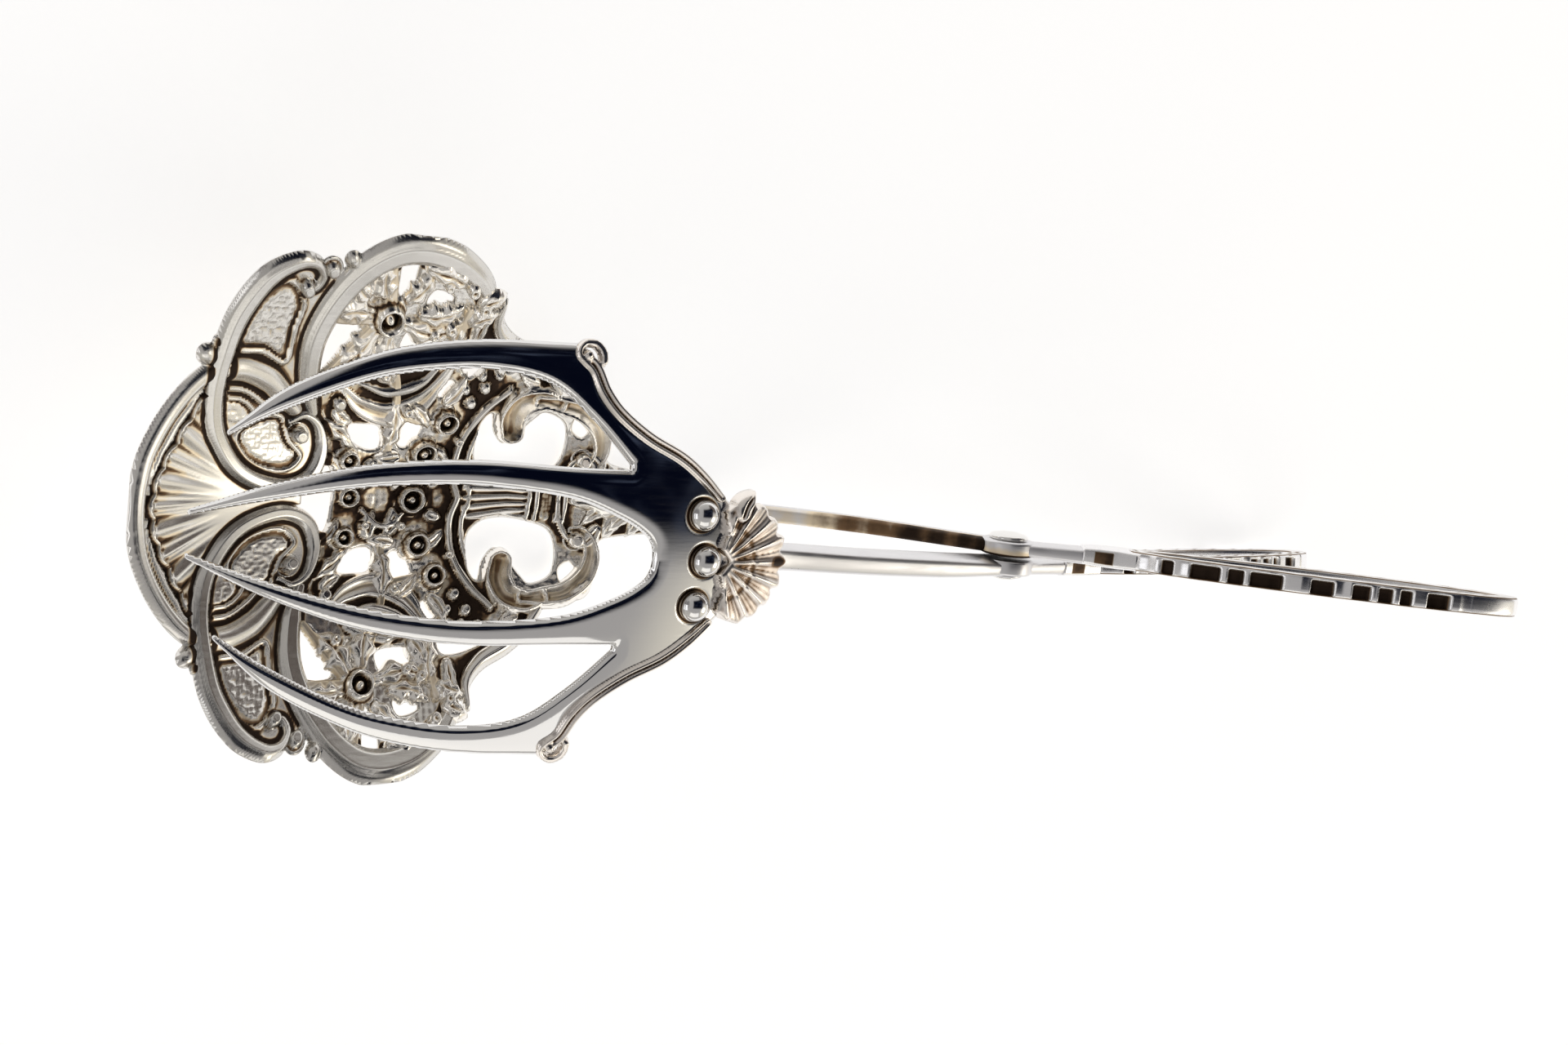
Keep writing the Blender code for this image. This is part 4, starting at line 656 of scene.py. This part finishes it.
BARY, LOOPY, UPD, DND = 1.2, 1.45, 24.0, -19.3
def arm_ox():
    """Tarnish on one stretch of a bar, mottled, heaviest on its upper side."""
    return lambda s, cu, cw: np.clip(0.05 + np.interp(s, [0, 0.22, 0.40, 0.52, 0.64, 0.77, 0.82, 1], [0.05, 0.25, 0.50, 0.92, 1.0, 0.98, 0.25, 0.05]) * (0.85 + 0.15 * math.sin(97 * s) * math.sin(41 * s + 1)) * (0.30 + 0.70 * (cw > 0.1)), 0, 1) + 0 * cu
loft("bowl_bar", [(-37.4, 0, -22.6), (-33.2, 0.1, -22.0), (-29.4, 0.5, -20.9), (-24.0, 0.9, -17.2), (-15.0, 1.15, -11.0), (-6.0, BARY, -4.2), (0.0, BARY, 0.0), along(UPD, 5.0, BARY), along(UPD, 10.4, BARY + 0.1)],
     [1.5, 1.3, 1.15, 1.05, 1.0, 0.92, 0.86, 0.95, 1.05], [1.1, 1.7, 1.8, 1.8, 1.9, 2.1, 2.3, 2.2, 2.1], MAT_BAR, BOWL, ["bowl_arm"], oxf=arm_ox(), power=0.5)
cz = float(claw_z(-42.2, 0))
loft("claw_bar", [(-44.4, 0.0, cz - 2.0), (-39.0, 0.0, float(claw_z(-39.0, 0)) - 2.1), (-34.0, -0.2, 8.6), (-24.0, -0.7, 6.3), (-12.0, -1.1, 3.4), (-5.0, -BARY, 1.4), (0.0, -BARY, 0.0), along(DND, 5.0, -BARY), along(DND, 10.4, -BARY - 0.1)],
     [1.7, 1.5, 1.4, 1.35, 1.3, 1.1, 0.90, 0.95, 1.05], [1.1, 1.7, 1.8, 1.9, 2.0, 2.1, 2.3, 2.2, 2.1], MAT_BAR, CLAW, ["claw_arm"], power=0.5, ref=(0, math.cos(math.radians(9)), math.sin(math.radians(9))))
def boss(name, y, body, ox, gap_shade):
    r, h = 3.5, 0.95
    prof = [(0, h)] + [(r - 0.35 + 0.35 * math.sin(a), h - 0.35 + 0.35 * math.cos(a)) for a in np.linspace(0, math.pi / 2, 6)]
    prof += [(q, -w) for q, w in prof[::-1]]
    ring_tarnish_and_shade = [ox] * 7 + [0.5 * (ox + gap_shade)] + [gap_shade] * 6                     # painted shade on the face that lies against the other bar
    turned(name, prof, (0, y, 0), (0, 1, 0), MAT_BAR, body, n=64, ox=np.array([ring_tarnish_and_shade[0]] + [ring_tarnish_and_shade[1 + i] for i in range(len(prof) - 2) for _ in range(64)] + [ring_tarnish_and_shade[-1]]))
boss("bowl_pivot_boss", BARY, BOWL, 0.24, 1.0); boss("claw_pivot_boss", -BARY, CLAW, 0.15, 0.15)

# ------------------------------------------------------------------ rivet
face = BARY + 0.80
head = [(0, face + 1.15)] + [(2.5 * math.sin(a), face + 0.50 + 0.65 * math.cos(a)) for a in np.linspace(0.12, math.pi / 2, 12)] + [(2.5, face + 0.30), (2.38, face + 0.18), (0, face + 0.18)]
turned("rivet_domed_head", head, (0, 0, 0), (0, 1, 0), MAT_RIVET, BOWL, ["pivot_rivet"], ox=0.15)
low = -(face + 0.2)
turned("rivet_washer_ring", [(0, low + 0.02), (2.2, low), (2.3, low - 0.08), (2.3, low - 0.30), (2.2, low - 0.38), (0, low - 0.38)], (0, 0, 0), (0, 1, 0), MAT_BAR, BOWL, ["rivet_washer"], ox=0.2)
peen = [(0, low - 0.36), (1.55, low - 0.38), (1.6, low - 0.46)] + [(1.6 * math.cos(a), low - 0.50 - 0.4 * math.sin(a)) for a in np.linspace(0.1, math.pi / 2 - 0.1, 9)] + [(0, low - 0.91)]
turned("rivet_peened_end", peen, (0, 0, 0), (0, 1, 0), MAT_RIVET, BOWL, ox=0.15)

# ------------------------------------------------------------------ finger loops
CELLS = [(12.0, 15.1), (19.4, 21.0), (22.7, 26.4), (27.1, 29.2), (29.7, 33.8), (37.0, 40.0), (42.0, 44.5), (45.2, 47.2), (47.9, 49.6), (51.2, 54.4)]
def finger_loop(name, angle, y, body, node, mat, twist=0.0):
    """A ring swept in the plane of the scissor motion: outer edge carved with scroll lobes and deep cells, flat sides with twin rims."""
    n = 44; m = 640; a = 2 * math.pi * (np.arange(m) + 0.5) / m
    lx, lz, wall = 25.0, 9.0, 2.5
    cx = 40 + (lx - wall / 2) * np.cos(a); czz = (lz - wall / 2) * np.sin(a) * (1 - 0.17 * (1 - np.cos(a)) / 2)
    # resample evenly
    d = np.hypot(np.roll(cx, -1) - cx, np.roll(czz, -1) - czz); cum = np.concatenate([[0], np.cumsum(d)]); tot = cum[-1]
    s = np.linspace(0, tot, m, endpoint=False); ccx = np.interp(s, cum, np.append(cx, cx[0])); ccz = np.interp(s, cum, np.append(czz, czz[0]))
    tx, tz = np.roll(ccx, -1) - np.roll(ccx, 1), np.roll(ccz, -1) - np.roll(ccz, 1); L = np.hypot(tx, tz); tx, tz = tx / L, tz / L
    nx, nz = tz, -tx                                  # outward
    phi = 2 * math.pi * np.arange(n) / n; c, q = np.cos(phi), np.sin(phi); cn, cy = np.sign(c) * np.abs(c) ** 0.45, np.sign(q) * np.abs(q) ** 0.45
    t = math.radians(angle); ct, st = math.cos(t), math.sin(t)
    S2, CN = np.meshgrid(s, cn, indexing="ij"); _, CY = np.meshgrid(s, cy, indexing="ij"); X0 = np.repeat(ccx[:, None], n, 1); Z0 = np.repeat(ccz[:, None], n, 1)
    depth = np.zeros_like(S2); ox = np.full_like(S2, 0.08)
    outer = CN > 0.55
    # the cells are carved, and also coloured dark as painted shade in their hollows
    for lo, hi in CELLS:
        along_ = sstep(X0, lo, lo + 0.35) * (1 - sstep(X0, hi - 0.35, hi)); across = sstep(CY, -0.86, -0.70) * (1 - sstep(CY, 0.42, 0.62))
        k = along_ * across * outer; depth = np.maximum(depth, 0.85 * k); ox = np.maximum(ox, 0.95 * k)
    # gentle lobes between the cells
    lob = 0.16 * np.cos(2 * np.pi * S2 / 3.9) * (CN > 0.2) * (X0 > 11) * (X0 < 57)
    # flat sides: sunk field with twin rims and scroll waves
    side = np.abs(CY) > 0.9
    prof = np.exp(-(CN / 0.42) ** 2); ends = (X0 > 16) * (X0 < 60)
    sunk = side * ends * prof * 0.26 * (1 - 0.9 * np.abs(np.sin(2 * np.pi * S2 / 7.8)) ** 3); ox = np.maximum(ox, 0.7 * side * ends * prof)
    # painted shade and highlight: the flat sides are tinted a darker cream-grey in place of their shading and cream
    # highlights, and a dark line of painted shade runs where each side meets the outer face
    ox = np.maximum(ox, 0.27 * side); ox = np.maximum(ox, 0.62 * (np.abs(CY) > 0.8) * (np.abs(CY) < 0.97) * (np.abs(CN) > 0.8))
    N = (wall / 2) * CN - depth * np.sign(CN) + np.minimum(lob, 0); Yy = 1.3 * CY * (1 - sunk / 1.3)
    PX = X0 + nx[:, None] * N; PZ = Z0 + nz[:, None] * N
    tw = math.radians(twist); Yt, PZt = Yy * math.cos(tw) - PZ * math.sin(tw), Yy * math.sin(tw) + PZ * math.cos(tw)
    P = np.stack([PX * ct - PZt * st, y + Yt, PX * st + PZt * ct], -1).reshape(-1, 3)
    idx = np.arange(m * n).reshape(m, n); i2 = np.roll(idx, -1, 0); j2 = np.roll(idx, -1, 1); ij = np.roll(i2, -1, 1)
    F = np.stack([idx, j2, ij, i2], -1).reshape(-1, 4).tolist()
    ob = make(name, P, F, mat, body, ox.reshape(-1))
    bm = bmesh.new(); bm.from_mesh(ob.data); bmesh.ops.recalc_face_normals(bm, faces=bm.faces); bm.to_mesh(ob.data); bm.free()
    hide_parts(node)
    loft(name + "_shank", [along(angle, 9.3, y), along(angle, 11.5, y), along(angle, 14.0, y), along(angle, 16.6, y)], [1.12, 1.25, 1.28, 1.2], [2.2, 2.15, 2.3, 2.7], mat, body,
         oxf=lambda s, cu, cw: 0.1 + 0.6 * (cw > 0.8) * (np.abs(cu) < 0.6) * float(0.25 < s < 0.6))
finger_loop("bowl_finger_loop", UPD, LOOPY, BOWL, "bowl_handle_loop", MAT_LOOP, -4.5)
finger_loop("claw_finger_loop", DND, -LOOPY, CLAW, "claw_handle_loop", MAT_LOOP, -8.0)

# ------------------------------------------------------------------ floor, world, lights, camera
def principled(name, col, rough, emis=0.0):
    m = bpy.data.materials.new(name); m.use_nodes = True; nt = m.node_tree; b = nt.nodes["Principled BSDF"]
    tc = nt.nodes.new("ShaderNodeTexCoord"); n = nt.nodes.new("ShaderNodeTexNoise"); n.inputs["Scale"].default_value = 6.0
    rp = nt.nodes.new("ShaderNodeValToRGB"); rp.color_ramp.elements[0].color = (*[c * 0.985 for c in col], 1); rp.color_ramp.elements[1].color = (*col, 1)
    nt.links.new(tc.outputs["Object"], n.inputs["Vector"]); nt.links.new(n.outputs["Fac"], rp.inputs[0]); nt.links.new(rp.outputs[0], b.inputs["Base Color"])
    b.inputs["Roughness"].default_value = rough; b.inputs["Specular IOR Level"].default_value = 0.0
    b.inputs["Emission Color"].default_value = (*col, 1); b.inputs["Emission Strength"].default_value = emis
    return m

me = bpy.data.meshes.new("floor"); R = 3.0
me.from_pydata([(-R, -R, 0), (R, -R, 0), (R, R, 0), (-R, R, 0)], [], [(0, 1, 2, 3)]); me.materials.append(principled("floor_pale", (0.93, 0.93, 0.93), 0.9, 0.66))
floor = bpy.data.objects.new("floor", me); floor.location = (0, 0, -0.0002); bpy.context.scene.collection.objects.link(floor)

w = bpy.data.worlds.new("studio"); w.use_nodes = True; nt = w.node_tree; bpy.context.scene.world = w
bg = nt.nodes["Background"]; tc = nt.nodes.new("ShaderNodeTexCoord")
def dotmask(vec, lo, hi):
    vec = Vector(vec).normalized(); d = nt.nodes.new("ShaderNodeVectorMath"); d.operation = "DOT_PRODUCT"; d.inputs[1].default_value = vec
    nt.links.new(tc.outputs["Generated"], d.inputs[0]); r = nt.nodes.new("ShaderNodeMapRange"); r.interpolation_type = "SMOOTHSTEP"
    r.inputs["From Min"].default_value = lo; r.inputs["From Max"].default_value = hi; nt.links.new(d.outputs["Value"], r.inputs["Value"]); return r.outputs[0]
def mul(a, b):
    m = nt.nodes.new("ShaderNodeMath"); m.operation = "MULTIPLY"; nt.links.new(a, m.inputs[0]); nt.links.new(b, m.inputs[1]); return m.outputs[0]
def mix(fac, a, b):
    m = nt.nodes.new("ShaderNodeMix"); m.data_type = "RGBA"; nt.links.new(fac, m.inputs[0])
    for sock, v in ((m.inputs[6], a), (m.inputs[7], b)):
        if isinstance(v, tuple): sock.default_value = (*v, 1)
        else: nt.links.new(v, sock)
    return m.outputs[2]
base = mix(dotmask((0, 0, 1), -0.2, 0.9), (0.54, 0.525, 0.50), (0.40, 0.39, 0.385))
base = mix(dotmask((0.9, -0.35, 0.25), 0.84, 0.95), base, (0.80, 0.755, 0.65))          # warm window
base = mix(dotmask((-0.3, -0.9, 0.35), 0.80, 0.94), base, (0.50, 0.485, 0.455))
base = mix(dotmask((0.75, 0.6, 0.12), 0.86, 0.95), base, (0.12, 0.10, 0.09))            # dark doorway
base = mix(dotmask((-0.95, 0.2, 0.2), 0.80, 0.93), base, (0.22, 0.21, 0.21))
dark = mul(dotmask((0, 0, 1), 0.28, 0.42), dotmask((0.0, 1.0, 0.0), -0.23, -0.04))
dark = mul(dark, dotmask((0.0, -1.0, 0.0), -0.80, -0.62)); dark = mul(dark, dotmask((1.0, 0.0, 0.0), -0.28, -0.14)); dark = mul(dark, dotmask((-1.0, 0.0, 0.0), -0.86, -0.76))
smoke = nt.nodes.new("ShaderNodeTexNoise"); smoke.inputs["Scale"].default_value = 5.0; smoke.inputs["Detail"].default_value = 5.0; smoke.inputs["Distortion"].default_value = 1.2
nt.links.new(tc.outputs["Generated"], smoke.inputs["Vector"])
haze = nt.nodes.new("ShaderNodeMapRange"); haze.interpolation_type = "SMOOTHSTEP"; haze.inputs["From Min"].default_value = 0.50; haze.inputs["From Max"].default_value = 0.74; nt.links.new(smoke.outputs["Fac"], haze.inputs["Value"])
base = mix(dark, base, mix(haze.outputs[0], (0.0016, 0.0026, 0.0085), (0.040, 0.050, 0.080)))
nt.links.new(base, bg.inputs["Color"]); bg.inputs["Strength"].default_value = 1.0

def area(name, loc, target, size, power, col=(1, 1, 1)):
    l = bpy.data.lights.new(name, "AREA"); l.shape = "RECTANGLE"; l.size, l.size_y = size; l.energy = power; l.color = col
    o = bpy.data.objects.new(name, l); o.location = loc; o.rotation_euler = (Vector(target) - Vector(loc)).to_track_quat("-Z", "Y").to_euler(); bpy.context.scene.collection.objects.link(o); return o
area("softbox_front", (0.05, -0.75, 0.55), (0, 0, 0.02), (0.9, 0.5), 0.9, (1.0, 0.985, 0.95))
area("softbox_left", (-0.8, -0.1, 0.35), (0, 0, 0.02), (0.5, 0.3), 0.5, (0.97, 0.98, 1.0))
area("softbox_right", (0.75, -0.25, 0.40), (0, 0, 0.02), (0.35, 0.35), 0.7, (1.0, 0.95, 0.86))

cam = bpy.data.cameras.new("camera"); cam.lens = 41.25; cam.sensor_width = 36.0; cam.clip_start = 0.005; cam.clip_end = 20
co = bpy.data.objects.new("camera", cam); bpy.context.scene.collection.objects.link(co)
right, up, back = Vector((0.92692, 0.11585, 0.35694)), Vector((-0.05669, 0.98347, -0.17198)), Vector((-0.37096, 0.13917, 0.91816))
M = Matrix((right, up, back)).transposed().to_4x4(); M.translation = Vector(PIV) + Vector((-112.7, 33.1, 201.7)) * 0.001
co.matrix_world = M; bpy.context.scene.camera = co
bpy.context.scene.view_settings.view_transform = "Standard"
